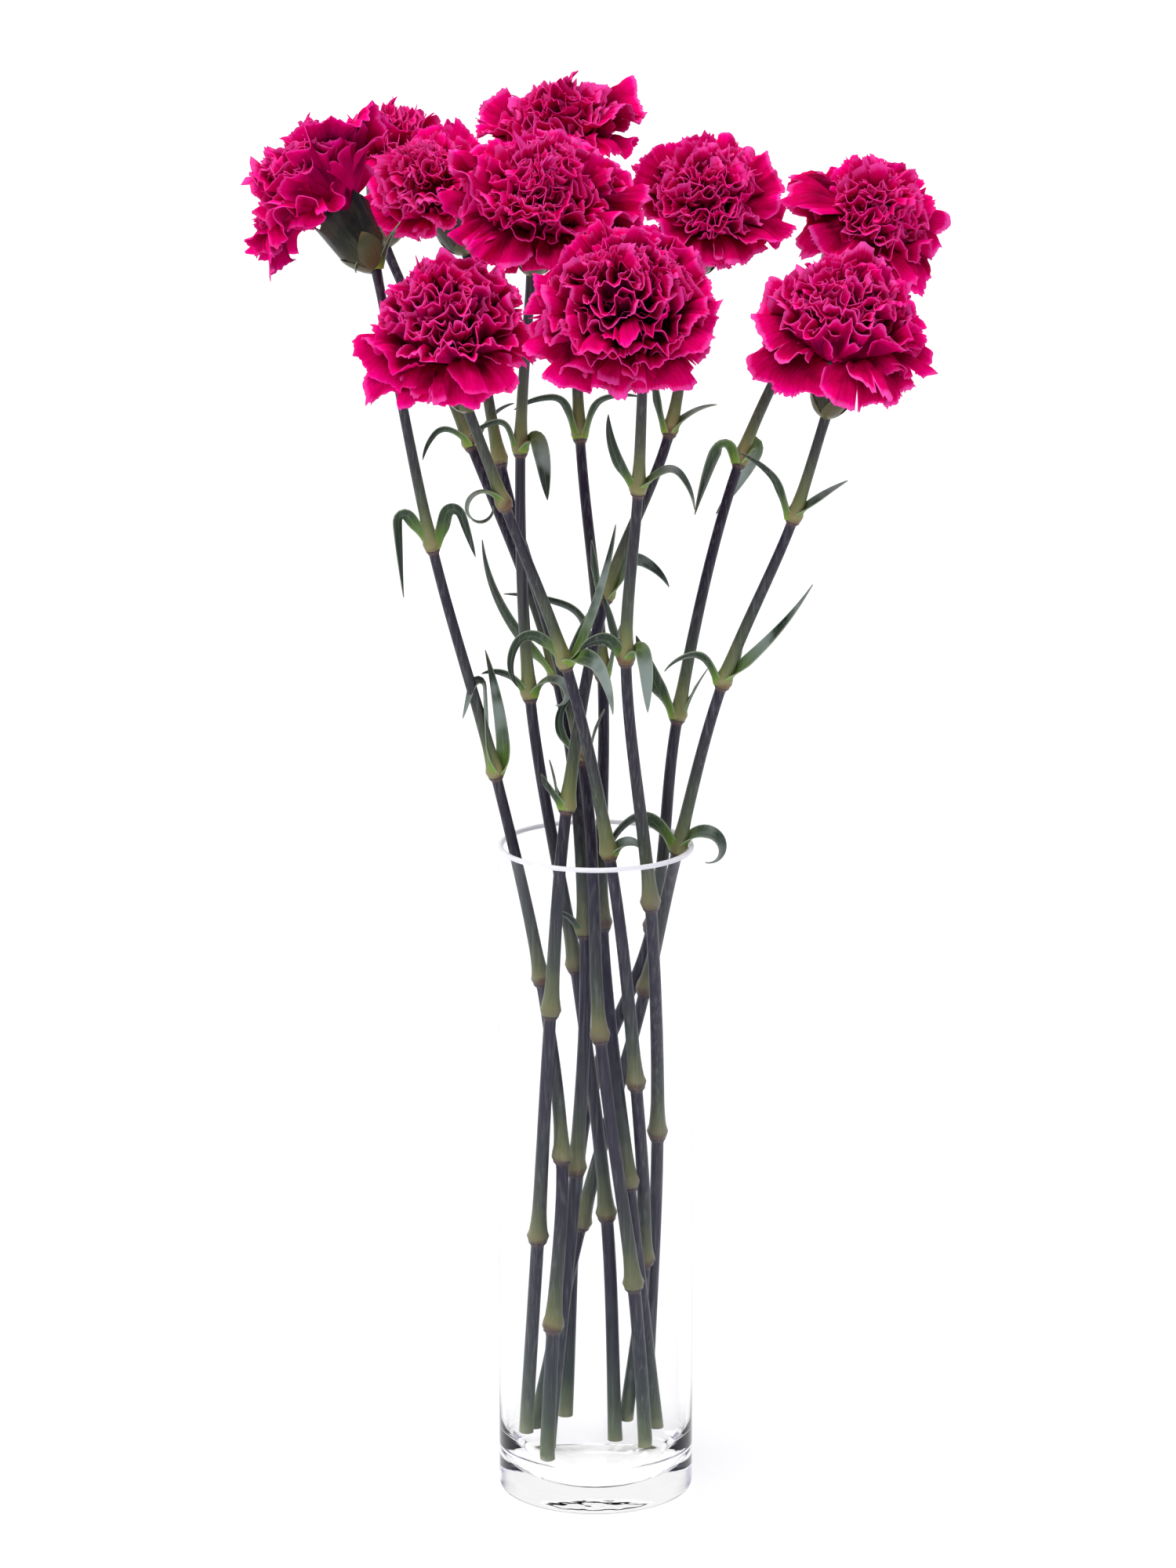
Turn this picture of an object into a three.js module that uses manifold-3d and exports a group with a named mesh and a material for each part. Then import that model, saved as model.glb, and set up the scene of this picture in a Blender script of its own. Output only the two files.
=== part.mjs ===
// Ten cut carnations standing in a clear glass cylinder vase.
// Millimetres, +Z up. The origin is the centre of the vase's flat underside,
// +X runs to the right and +Y runs away from the viewer.

import * as THREE from 'three';
import { mergeVertices } from 'three/addons/utils/BufferGeometryUtils.js';
import Module from 'manifold-3d';

const wasm = await Module();
wasm.setup();

// ---------- driving dimensions ----------

const VASE = {
  height: 300,
  radius: 43.5,
  wall: 2.5,
  floor: 7, // glass under the middle of the dished floor
  dish: 27, // radius of the curve from the floor up into the wall
  heel: 4, // rounded edge round the underside
  sides: 36,
};

// The stem's radius falls evenly from foot to neck. The factors change it along
// each internode: swollen at the joint, full in the leaf sheath above it, then
// slimmer up to just below the next joint.
const STEM = {
  sides: 6,
  footRadius: 3.5,
  neckRadius: 2.4,
  jointFactor: 1.35,
  sheathFactor: 1.08,
  middleFactor: 0.94,
  slimFactor: 0.86,
  sheathHeight: 12,
  middleShare: 0.55, // how far up the internode the middle ring lies
  slimDepth: 3.5, // distance of the slimmest ring below its joint
};

const LEAF = {
  steps: 5,
  keel: 1.3, // depth of the fold under the root of the blade
  keelLoss: 0.4, // share of that depth lost by the tip
  curlPower: 1.3, // above 1, the blade curls more towards its tip
  rootLift: 1.5, // height of the root over the middle of the joint
};

// The cup of sepals under a bloom, as [radius, height] of its levels.
const CALYX = {
  sides: 10,
  foot: [3, 0],
  shoulder: [5.6, 2.5],
  scaleTip: [8.3, 12],
  scaleNotch: [7, 6],
  waist: [7.6, 13.5],
  mouth: [10, 27],
  toothTop: 30.5,
  throat: [8.2, 26.5],
};

const PETAL = {
  thickness: 0.9,
  marginPoints: 9,
  bellyPoints: 3,
  throat: 3, // distance of a petal's root from the bloom's axis
  tooth: 0.07, // depth of the notches in the margin, as a share of the length
  rounding: 0.2, // how far the corners of the fan fall back, likewise
  waves: 5, // turn of the ruffle from the middle of a petal to its side, in radians
  jitter: 16, // spread of the drawn fall angle, in degrees
  steps: 12,
};

const SEAT = 0.3; // gap left where two pieces touch
const FOOT_SEAT = 0.7; // the same under a cut foot, over the faceted floor
const FUSE_TOLERANCE = 0.1; // detail under this is dropped where pieces fuse
const WELD = 0.01; // points nearer than this are one

const COLOUR = {
  glass: 0xeef2f4,
  stem: 0x66755a,
  calyx: 0x55604c,
  petal: 0xb8064f,
};

// Layers of petals, from the spreading guard petals to the upright middle ones.
// reach is the petal's length and wide its half width, as multiples of the
// bloom's radius. The petal leaves its root, at height root over the calyx foot,
// at angle rise and bends over to angle fall. Its margin waves by ruffle, and one
// side of it is raised by lap over its neighbour. All angles are in degrees.
const LAYERS = [
  { petals: 5, reach: 1.16, wide: 0.56, rise: 44, fall: -82, ruffle: 2.4, lap: 3.4, root: 33 },
  { petals: 5, reach: 0.94, wide: 0.5, rise: 66, fall: -10, ruffle: 2.4, lap: 3.6, root: 35 },
  { petals: 3, reach: 0.72, wide: 0.42, rise: 86, fall: 50, ruffle: 2.4, lap: 2.6, root: 42 },
];

// Each layer is turned on from the one outside it by LAYER_TURN of a petal's
// share of the circle, and each petal by up to PETAL_TURN of it.
const LAYER_TURN = 0.37;
const PETAL_TURN = 0.2;

// Core that fills the middle of a bloom of radius 40, as [radius, height above
// the calyx foot]. Its lowest level stands in the mouth of the calyx.
const CORE = [[6.6, 27.3], [11, 34], [18, 47], [0, 60]];
const CORE_SIDES = 6;
const CORE_BLOOM_RADIUS = 40;

const SEED_STEP = 977; // keeps the drawn numbers of one flower from the next one's

// The flowers. foot is where the cut end stands on the vase floor, [x, y].
// joints are the swollen nodes from the foot up, neck is the top of the stem,
// and facing is the way the bloom looks. leaves are listed from the lowest:
// [joint, heading, length, width, rise, bend], where a heading of 0 is +X and
// 90 is +Y, rise is the starting angle above level, and bend is how far the
// blade has curled over at its tip.
const FLOWERS = [
  {
    name: '1', bloomRadius: 39, foot: [-22, -22], neck: [-94, -40, 564], facing: [-0.54, 0.25, 0.8],
    joints: [[-19, -18, 80], [-15, -8, 156], [-24, -3, 237], [-44, -5, 332], [-71, -18, 437]],
    leaves: [
      [4, 200, 62, 5, 86, 40], [4, 20, 62, 5, 88, 30],
      [5, 195, 60, 5, 66, 160], [5, -20, 42, 5, 84, 165],
    ],
  },
  {
    name: '2', bloomRadius: 34, foot: [-22, 10], neck: [-94, 93, 551], facing: [0.07, 0.15, 0.99],
    joints: [[-9, 3, 147], [-5, 5, 257], [-17, 21, 369], [-55, 51, 468]],
    leaves: [
      [2, 190, 17, 4, 60, 60], [3, 170, 70, 5, 42, -45], [3, 12, 34, 4, 78, 20],
      [4, 190, 30, 3, 30, 110], [4, 20, 26, 3, 70, 60],
    ],
  },
  {
    name: '3', bloomRadius: 32, foot: [23, 10], neck: [-57, 52, 556], facing: [-0.36, -0.46, 0.81],
    joints: [[17, -6, 96], [2, -8, 212], [-6, 6, 336], [-42, 30, 465]],
    leaves: [[3, 180, 34, 4, 36, -120], [3, 30, 23, 3, 78, 20]],
  },
  {
    name: '4', bloomRadius: 38, foot: [14, 30], neck: [-55, -48, 505], facing: [-0.18, -0.42, 0.88],
    joints: [[22, 14, 101], [18, 0, 188], [6, -15, 298], [-13, -28, 387], [-39, -40, 460]],
    leaves: [
      [3, 0, 15, 4, 60, 150], [4, 195, 48, 5, 62, 210], [4, -30, 40, 6, 20, 110],
      [4, -10, 66, 4, 66, -16], [5, 200, 34, 4, 46, 280],
    ],
  },
  {
    name: '5', bloomRadius: 41, foot: [9, 24], neck: [-28, 6, 555], facing: [0.12, -0.55, 0.83],
    joints: [[5, 18, 121], [-9, 12, 239], [-29, 5, 365], [-33, 4, 475]],
    leaves: [
      [3, 190, 24, 4, 60, 80], [3, -20, 26, 4, 70, 250],
      [4, 180, 30, 4, 82, 125], [4, -25, 31, 7, 56, 140],
    ],
  },
  {
    name: '6', bloomRadius: 37, foot: [28, 18], neck: [-10, 65, 565], facing: [-0.03, 0.03, 1],
    joints: [[15, 1, 141], [3, 13, 258], [3, 28, 369], [-7, 45, 473]],
    leaves: [
      [3, 165, 64, 3, 82, 84], [3, 10, 30, 5, 84, 20],
      [4, 185, 36, 4, 86, 110], [4, 0, 34, 4, 86, 88],
    ],
  },
  {
    name: '7', bloomRadius: 42, foot: [23, 26], neck: [20, -53, 523], facing: [-0.16, -0.65, 0.74],
    joints: [[28, 16, 160], [24, -14, 275], [13, -33, 390], [18, -42, 467]],
    leaves: [
      [3, 170, 30, 4, 82, 10], [3, 205, 24, 5, 66, 110], [3, -20, 29, 5, 60, 170],
      [4, 190, 32, 4, 52, -36], [4, -15, 38, 4, 44, 130],
    ],
  },
  {
    name: '8', bloomRadius: 37, foot: [-32, 10], neck: [43, 34, 550], facing: [0.13, -0.58, 0.8],
    joints: [[-26, -3, 117], [-20, -16, 226], [-13, -11, 318], [4, 2, 410], [32, 17, 481]],
    leaves: [
      [3, 190, 18, 4, 50, -20], [3, 160, 22, 3, 84, 10],
      [4, 175, 24, 4, 86, 0], [4, 15, 36, 6, 76, 150],
      [5, 175, 28, 4, 78, -14], [5, 12, 21, 3, 40, 40],
    ],
  },
  {
    name: '9', bloomRadius: 41, foot: [-28, 18], neck: [99, -33, 499], facing: [0.14, -0.32, 0.93],
    joints: [[-7, 24, 115], [22, 16, 227], [36, -2, 297], [55, -18, 376], [85, -29, 452]],
    leaves: [
      [3, 200, 46, 6, 72, 130], [3, -10, 34, 6, 62, 230],
      [4, 185, 29, 4, 70, 115], [4, -15, 58, 4, 42, -16], [4, 25, 24, 3, 60, -20],
      [5, 180, 35, 4, 84, 48], [5, -10, 28, 3, 36, 6],
    ],
  },
  {
    name: '10', bloomRadius: 37, foot: [-14, 31], neck: [103, 57, 546], facing: [0.45, -0.55, 0.7],
    joints: [[-4, 31, 169], [25, 19, 255], [36, 18, 352], [63, 34, 464]],
    leaves: [
      [3, 175, 38, 7, 62, -10], [3, 20, 22, 5, 64, 10],
      [4, 190, 48, 7, 76, 150], [4, 12, 54, 5, 72, 236],
    ],
  },
];

// ---------- solids ----------

const degrees = THREE.MathUtils.degToRad;

// Seeded draw from 0 to 1, so that the flowers come out alike every time.
function randomFrom(seed) {
  let state = seed;
  return () => {
    state = (state * 1664525 + 1013904223) % 4294967296;
    return state / 4294967296;
  };
}

function toSolid(geometry) {
  const bare = geometry.clone();
  bare.deleteAttribute('normal');
  bare.deleteAttribute('uv');
  const merged = mergeVertices(bare, WELD);
  return new wasm.Manifold(new wasm.Mesh({
    numProp: 3,
    vertProperties: new Float32Array(merged.attributes.position.array),
    triVerts: new Uint32Array(merged.index.array),
  }));
}

// The largest body of a fused solid, without slivers. Loose scraps are dropped
// and sealed hollows are filled.
function largestBody(solid) {
  const tidied = toSolid(toGeometry(solid.simplify(FUSE_TOLERANCE)));
  const bodies = tidied.decompose();
  return bodies.reduce((a, b) => (b.volume() > a.volume() ? b : a));
}

function toGeometry(solid) {
  const mesh = solid.getMesh();
  const geometry = new THREE.BufferGeometry();
  geometry.setAttribute('position', new THREE.BufferAttribute(mesh.vertProperties, 3));
  geometry.setIndex(new THREE.BufferAttribute(mesh.triVerts, 1));
  geometry.computeVertexNormals();
  return geometry;
}

function fromTriangles(points, triangles) {
  const geometry = new THREE.BufferGeometry();
  const coordinates = points.flatMap((point) => point.toArray());
  geometry.setAttribute('position', new THREE.Float32BufferAttribute(coordinates, 3));
  geometry.setIndex(triangles.flat());
  return geometry;
}

// A closed tube through rings that all have the same number of points. A ring
// of one point closes an end to a tip, and any other end is filled flat.
function loft(rings) {
  const points = rings.flat();
  const triangles = [];
  let start = 0;
  for (let i = 0; i + 1 < rings.length; i += 1) {
    const lower = rings[i];
    const upper = rings[i + 1];
    const next = start + lower.length;
    const sides = Math.max(lower.length, upper.length);
    for (let k = 0; k < sides; k += 1) {
      const k2 = (k + 1) % sides;
      if (lower.length > 1) {
        triangles.push([start + k, start + k2, next + (upper.length > 1 ? k2 : 0)]);
      }
      if (upper.length > 1) {
        triangles.push([start + (lower.length > 1 ? k : 0), next + k2, next + k]);
      }
    }
    start = next;
  }
  const first = rings[0];
  const last = rings[rings.length - 1];
  for (let k = 1; k + 1 < first.length; k += 1) {
    triangles.push([0, k + 1, k]);
  }
  for (let k = 1; k + 1 < last.length; k += 1) {
    triangles.push([start, start + k, start + k + 1]);
  }
  return fromTriangles(points, triangles);
}

// ---------- vase ----------

const innerRadius = VASE.radius - VASE.wall;

// Height, at a distance from the vase's axis, of a point that lies a given
// clearance off the dished inner floor.
function floorHeight(distance, clearance) {
  const across = Math.max(distance - (innerRadius - VASE.dish), 0);
  return VASE.floor + VASE.dish - Math.sqrt((VASE.dish - clearance) ** 2 - across ** 2);
}

function arc(centreX, centreY, radius, from, to, steps) {
  const points = [];
  for (let i = 0; i <= steps; i += 1) {
    const angle = degrees(from + ((to - from) * i) / steps);
    points.push(new THREE.Vector2(centreX + radius * Math.cos(angle), centreY + radius * Math.sin(angle)));
  }
  return points;
}

function vaseGeometry() {
  const rim = VASE.wall / 2;
  const profile = [
    new THREE.Vector2(0, 0),
    ...arc(VASE.radius - VASE.heel, VASE.heel, VASE.heel, -90, 0, 2),
    ...arc(VASE.radius - rim, VASE.height - rim, rim, 0, 180, 2),
    ...arc(innerRadius - VASE.dish, VASE.floor + VASE.dish, VASE.dish, 0, -90, 5),
    new THREE.Vector2(0, VASE.floor),
  ];
  const geometry = new THREE.LatheGeometry(profile, VASE.sides);
  geometry.rotateX(Math.PI / 2);
  return toGeometry(toSolid(geometry));
}

// ---------- stems and leaves ----------

function footPoint(flower) {
  const [x, y] = flower.foot;
  const edge = Math.hypot(x, y) + STEM.footRadius;
  return new THREE.Vector3(x, y, floorHeight(edge, FOOT_SEAT));
}

function stemCurve(flower) {
  const points = [footPoint(flower), ...flower.joints.map((p) => new THREE.Vector3(...p))];
  points.push(new THREE.Vector3(...flower.neck));
  return new THREE.CatmullRomCurve3(points, false, 'centripetal');
}

function ring(centre, tangent, radius, sides) {
  const side = new THREE.Vector3(1, 0, 0).addScaledVector(tangent, -tangent.x).normalize();
  const front = new THREE.Vector3().crossVectors(tangent, side);
  const points = [];
  for (let k = 0; k < sides; k += 1) {
    const angle = (2 * Math.PI * k) / sides;
    points.push(centre.clone()
      .addScaledVector(side, radius * Math.cos(angle))
      .addScaledVector(front, radius * Math.sin(angle)));
  }
  return points;
}

// One stem, from its level cut foot through its joints to the neck.
function stemGeometry(flower, curve, facing) {
  const spans = flower.joints.length + 1;
  const own = (u) => THREE.MathUtils.lerp(STEM.footRadius, STEM.neckRadius, u);
  const rings = [];
  const addRing = (u, radius) => {
    rings.push(ring(curve.getPoint(u), curve.getTangent(u), radius, STEM.sides));
  };
  rings.push(ring(curve.getPoint(0), new THREE.Vector3(0, 0, 1), STEM.footRadius, STEM.sides));
  for (let i = 0; i < spans; i += 1) {
    const low = i / spans;
    const high = (i + 1) / spans;
    const length = curve.getPoint(low).distanceTo(curve.getPoint(high));
    const step = 1 / spans / length;
    if (i > 0) {
      addRing(low - STEM.slimDepth * step, own(low) * STEM.slimFactor);
      addRing(low, own(low) * STEM.jointFactor);
      addRing(low + STEM.sheathHeight * step, own(low) * STEM.sheathFactor);
    }
    addRing(low + STEM.middleShare / spans, own(low) * STEM.middleFactor);
  }
  const top = new THREE.Vector3(...flower.neck).addScaledVector(facing, -SEAT);
  rings.push(ring(top, facing, STEM.neckRadius, STEM.sides));
  return loft(rings);
}

// One narrow leaf: a keeled blade that rises from its joint and curls over.
function leafGeometry(root, heading, length, width, rise, bend) {
  const outward = new THREE.Vector3(Math.cos(degrees(heading)), Math.sin(degrees(heading)), 0);
  const across = new THREE.Vector3(-outward.y, outward.x, 0);
  const up = new THREE.Vector3(0, 0, 1);
  const rings = [];
  const centre = root.clone();
  for (let i = 0; i < LEAF.steps; i += 1) {
    const s = i / LEAF.steps;
    const angle = degrees(rise - bend * s ** LEAF.curlPower);
    const along = outward.clone().multiplyScalar(Math.cos(angle)).addScaledVector(up, Math.sin(angle));
    const under = new THREE.Vector3().crossVectors(across, along);
    const half = (width / 2) * Math.sqrt(1 - s ** 2);
    const keel = LEAF.keel * (1 - LEAF.keelLoss * s);
    rings.push([
      centre.clone().addScaledVector(across, -half).addScaledVector(under, -keel / 3),
      centre.clone().addScaledVector(under, keel),
      centre.clone().addScaledVector(across, half).addScaledVector(under, -keel / 3),
    ]);
    centre.addScaledVector(along, length / LEAF.steps);
  }
  rings.push([centre]);
  return loft(rings);
}

function leafyStem(flower, facing) {
  const curve = stemCurve(flower);
  const spans = flower.joints.length + 1;
  let solid = toSolid(stemGeometry(flower, curve, facing));
  for (const [joint, heading, length, width, rise, bend] of flower.leaves) {
    const root = curve.getPoint(joint / spans).add(new THREE.Vector3(0, 0, LEAF.rootLift));
    solid = solid.add(toSolid(leafGeometry(root, heading, length, width, rise, bend)));
  }
  return toGeometry(largestBody(solid));
}

// ---------- blooms ----------

// Turns a shape built round +Z so that it stands on the neck and looks along facing.
function placeOnNeck(geometry, flower, facing) {
  const turn = new THREE.Quaternion().setFromUnitVectors(new THREE.Vector3(0, 0, 1), facing);
  geometry.applyQuaternion(turn);
  geometry.translate(...flower.neck);
  return geometry;
}

// The cup of joined sepals: pointed scales clasp its foot, and five teeth
// stand round its mouth.
function calyxBody() {
  const flat = new THREE.Vector3(0, 0, 1);
  const level = ([radius, height]) => ring(new THREE.Vector3(0, 0, height), flat, radius, CALYX.sides);
  const notches = level(CALYX.scaleNotch);
  const scales = level(CALYX.scaleTip).map((point, k) => (k % 2 === 0 ? notches[k] : point));
  const teeth = level(CALYX.mouth).map((point, k) => (k % 2 === 0 ? point.setZ(CALYX.toothTop) : point));
  return loft([
    level(CALYX.foot),
    level(CALYX.shoulder),
    scales,
    level(CALYX.waist),
    teeth,
    level(CALYX.throat),
  ]);
}

function calyxGeometry(flower, facing) {
  return placeOnNeck(toGeometry(toSolid(calyxBody())), flower, facing);
}

// Triangles between two rows of points that run the same way across a petal.
function stitch(lowStart, lowCount, highStart, highCount) {
  const triangles = [];
  let low = 0;
  let high = 0;
  while (low < lowCount - 1 || high < highCount - 1) {
    const lowAhead = (low + 1) / (lowCount - 1 || 1);
    const highAhead = (high + 1) / (highCount - 1);
    if (low < lowCount - 1 && (lowAhead <= highAhead || high === highCount - 1)) {
      triangles.push([lowStart + low + 1, lowStart + low, highStart + high]);
      low += 1;
    } else {
      triangles.push([highStart + high + 1, lowStart + low, highStart + high]);
      high += 1;
    }
  }
  return triangles;
}

// The middle line of a petal. The function it returns gives the point at a share
// of the petal's length, and the direction its upper face looks in there.
function petalLine(layer, length, fall, out, across) {
  const up = new THREE.Vector3(0, 0, 1);
  return (share) => {
    const point = new THREE.Vector3(0, 0, layer.root).addScaledVector(out, PETAL.throat);
    const direction = new THREE.Vector3();
    for (let i = 0; i < PETAL.steps; i += 1) {
      const angle = degrees(THREE.MathUtils.lerp(layer.rise, fall, (share * (i + 0.5)) / PETAL.steps));
      direction.copy(out).multiplyScalar(Math.cos(angle)).addScaledVector(up, Math.sin(angle));
      point.addScaledVector(direction, (length * share) / PETAL.steps);
    }
    const normal = new THREE.Vector3().crossVectors(direction, across).normalize();
    return { point, normal };
  };
}

// One fan-shaped petal: a narrow root, a belly and a waved, toothed margin.
// Both faces are split into the same triangles.
function petalGeometry(layer, radius, azimuth, random) {
  const half = layer.wide * radius;
  const wave = random() * Math.PI * 2;
  const fall = layer.fall + (random() - 0.5) * PETAL.jitter;
  const out = new THREE.Vector3(Math.cos(azimuth), Math.sin(azimuth), 0);
  const across = new THREE.Vector3(-out.y, out.x, 0);
  const line = petalLine(layer, layer.reach * radius, fall, out, across);
  const rows = [
    { count: 2, reach: 0.06, spread: 0.16 },
    { count: PETAL.bellyPoints, reach: 0.55, spread: 0.74 },
    { count: PETAL.marginPoints, reach: 1, spread: 1 },
  ];
  const top = [];
  const bottom = [];
  rows.forEach((row, index) => {
    const margin = index === rows.length - 1;
    for (let k = 0; k < row.count; k += 1) {
      const side = (2 * k) / (row.count - 1) - 1;
      const tooth = margin && k % 2 === 0 ? PETAL.tooth : 0;
      const rounding = margin ? PETAL.rounding * side ** 2 : 0;
      const ruffle = layer.ruffle * row.reach ** 2 * Math.sin(side * PETAL.waves + wave);
      const { point, normal } = line(row.reach - rounding - tooth);
      point.addScaledVector(across, side * half * row.spread);
      point.addScaledVector(normal, ruffle + layer.lap * side * row.spread);
      top.push(point);
      bottom.push(point.clone().addScaledVector(normal, -PETAL.thickness));
    }
  });
  const bellyStart = rows[0].count;
  const marginStart = bellyStart + rows[1].count;
  const face = [
    ...stitch(0, rows[0].count, bellyStart, rows[1].count),
    ...stitch(bellyStart, rows[1].count, marginStart, rows[2].count),
  ];
  const outline = [0, 1, marginStart - 1];
  for (let k = rows[2].count - 1; k >= 0; k -= 1) {
    outline.push(marginStart + k);
  }
  outline.push(bellyStart);
  const count = top.length;
  const triangles = [
    ...face,
    ...face.map(([a, b, c]) => [a + count, c + count, b + count]),
  ];
  outline.forEach((a, i) => {
    const b = outline[(i + 1) % outline.length];
    triangles.push([a, b, a + count], [b, b + count, a + count]);
  });
  return fromTriangles([...top, ...bottom], triangles);
}

function bloomGeometry(flower, facing) {
  const random = randomFrom(Number(flower.name) * SEED_STEP);
  const flat = new THREE.Vector3(0, 0, 1);
  const scale = flower.bloomRadius / CORE_BLOOM_RADIUS;
  const core = CORE.map(([radius, height], i) => (
    radius === 0
      ? [new THREE.Vector3(0, 0, height)]
      : ring(new THREE.Vector3(0, 0, height), flat, i === 0 ? radius : radius * scale, CORE_SIDES)
  ));
  let solid = toSolid(loft(core));
  LAYERS.forEach((layer, index) => {
    for (let k = 0; k < layer.petals; k += 1) {
      const turn = k + LAYER_TURN * index + PETAL_TURN * random();
      const azimuth = (2 * Math.PI * turn) / layer.petals;
      solid = solid.add(toSolid(petalGeometry(layer, flower.bloomRadius, azimuth, random)));
    }
  });
  return placeOnNeck(toGeometry(largestBody(solid)), flower, facing);
}

// ---------- assembly ----------

function finish(colour, roughness) {
  return new THREE.MeshStandardMaterial({ color: colour, roughness, metalness: 0 });
}

const materials = {
  glass: finish(COLOUR.glass, 0.05),
  stem: finish(COLOUR.stem, 0.6),
  calyx: finish(COLOUR.calyx, 0.55),
  petal: finish(COLOUR.petal, 0.75),
};

function addPiece(group, name, geometry, material) {
  const mesh = new THREE.Mesh(geometry, material);
  mesh.name = name;
  group.add(mesh);
}

const carnations = new THREE.Group();
addPiece(carnations, 'vase', vaseGeometry(), materials.glass);
for (const flower of FLOWERS) {
  const facing = new THREE.Vector3(...flower.facing).normalize();
  addPiece(carnations, `stem_${flower.name}`, leafyStem(flower, facing), materials.stem);
  addPiece(carnations, `calyx_${flower.name}`, calyxGeometry(flower, facing), materials.calyx);
  addPiece(carnations, `bloom_${flower.name}`, bloomGeometry(flower, facing), materials.petal);
}

export default carnations;
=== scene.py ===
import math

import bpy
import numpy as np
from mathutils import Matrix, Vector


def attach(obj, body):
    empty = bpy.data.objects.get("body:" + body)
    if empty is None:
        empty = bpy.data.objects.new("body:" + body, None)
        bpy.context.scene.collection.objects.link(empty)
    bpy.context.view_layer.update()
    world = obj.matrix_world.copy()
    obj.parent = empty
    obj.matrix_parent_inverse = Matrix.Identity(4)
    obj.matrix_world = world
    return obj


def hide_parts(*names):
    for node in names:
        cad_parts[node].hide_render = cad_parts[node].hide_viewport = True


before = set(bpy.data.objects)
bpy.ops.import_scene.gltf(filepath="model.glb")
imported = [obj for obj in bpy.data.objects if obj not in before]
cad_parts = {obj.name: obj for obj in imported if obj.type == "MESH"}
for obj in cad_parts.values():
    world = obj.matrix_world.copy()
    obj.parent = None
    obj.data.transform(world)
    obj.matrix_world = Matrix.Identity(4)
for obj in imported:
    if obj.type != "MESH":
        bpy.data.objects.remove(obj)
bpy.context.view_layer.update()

# Ten cut carnations in a clear glass cylinder vase.
# The tables below are in millimetres and degrees, and a mesh is turned to metres
# where it is made. +Z is up, +X right and +Y away from the viewer.

MM = 0.001

# ---------- driving dimensions ----------

VASE = {"height": 300, "radius": 43.5, "wall": 2.5, "floor": 7, "dish": 27, "heel": 4, "sides": 144}
INNER_RADIUS = VASE["radius"] - VASE["wall"]
LIP_DEPTH = 1.9  # the band round the rim, which is painted white as a highlight
# Rings of points: under the base as shares of its radius, then up the wall outside and
# down it inside as shares of its height.
BASE_RINGS = (0.3, 0.6, 0.85)
OUTER_RINGS = (0.1, 0.3, 0.5, 0.7, 0.9)
INNER_RINGS = (0.9, 0.7, 0.5, 0.3, 0.16)
FLOOR_RING = 6  # radius of the last ring, on the flat middle of the inner floor

STEM_SIDES = 18
STEM_RINGS = 22  # rings along each internode
FOOT_RADIUS = 3.5
NECK_RADIUS = 2.4
FOOT_GAP = 0.7  # between a cut foot and the vase's floor
SEAT = 0.3  # between the top of a stem and its calyx

# How thick a stem is, as shares of its even taper. A bulge is (share, distance from the
# joint, width) and a taper (share, length).
SLENDER = 0.84
KNOB = (0.36, 2.4, 2.3)
SHEATH = (0.17, 5, 6.5)
JOINT_TAPER = (0.2, 42)
FOOT_TAPER = (0.12, 16)
FOOT_FLARE = 0.04
JOINT_LIP = (0.5, 0, 1.2)  # at the top of an internode, under the next joint
NECK_BLEND = 14  # length over which the last internode takes the neck's radius
FAR = 99  # stands for a distance from a joint that is of no account

LEAF_ROWS, LEAF_COLUMNS = 44, 7
LEAF_THICKNESS = 0.5
LEAF_ROOT_LIFT = 0.6  # height of a leaf's root over the middle of its joint
JOINT_GIRTH = 1.3  # radius that a leaf clasps, as a share of the stem's
CLASP_ANGLE = 80  # angle above level at which a leaf leaves its joint
CLASP_LENGTH = 5
CLASP_WIDTH = 1.55  # width of a leaf's root, as a share of the stem's diameter
CLASP_FADE = 6  # length over which the root narrows to the blade
CHANNEL = 0.4  # half of the channel's arc, in radians
ROOT_CHANNEL = 1.15  # how much more of an arc the root has
ROOT_CHANNEL_FADE = 6.5
TIP_HALF = 0.06
TWIST_CHANCE = 12
TWIST_LENGTH = 14  # length over which a leaf takes its twist
TIP_ROLL_CHANCE = 0.6  # in radians
SOFT_FOLD = (0.3, 0.3)  # where a fold starts and how far it goes on, as shares of the leaf
SHARP_FOLD_SPAN = 0.16  # how far a fold goes on that has its own place

CALYX_SIDES = 60
CUP_HEIGHTS = np.array([0, 0.8, 2.2, 4.5, 8, 12, 16, 20, 24, 28])
CUP_RADII = np.array([2.6, 3.5, 5.0, 6.6, 7.9, 8.6, 9.1, 9.6, 10.2, 11.0])
CUP_TOP = 28
GIRTH_FROM = 10  # height from which a calyx has its own girth in full
RIBS = 20
RIB_HEIGHT = 0.12
CUP_TEETH = 5
TEETH_FROM = 19  # height where the teeth begin
TOOTH_HEIGHT = 6.5
NOTCH_DEPTH = 1.5
CUP_LIP = 0.95  # inner radius of the rim, as a share of its outer one
THROAT_HEIGHTS = (22, 17)
THROAT_WALL = 0.8
SCALE_LENGTHS = (12, 16, 12, 16, 8, 8)
INNER_SCALES = 4  # the scales that lie close. The rest are at the foot and stand off
SCALE_STEP = 90  # turn from one scale to the next
SCALE_CHANCE = 25  # the most that chance adds to that turn
SCALE_ROWS, SCALE_COLUMNS = 14, 9
SCALE_SIZES = (0.9, 1.1)  # what chance makes of a scale's length, as shares
SCALE_THICKNESS = 0.35
SCALE_HALF = 0.9  # half of a scale's arc round the cup, in radians

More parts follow.
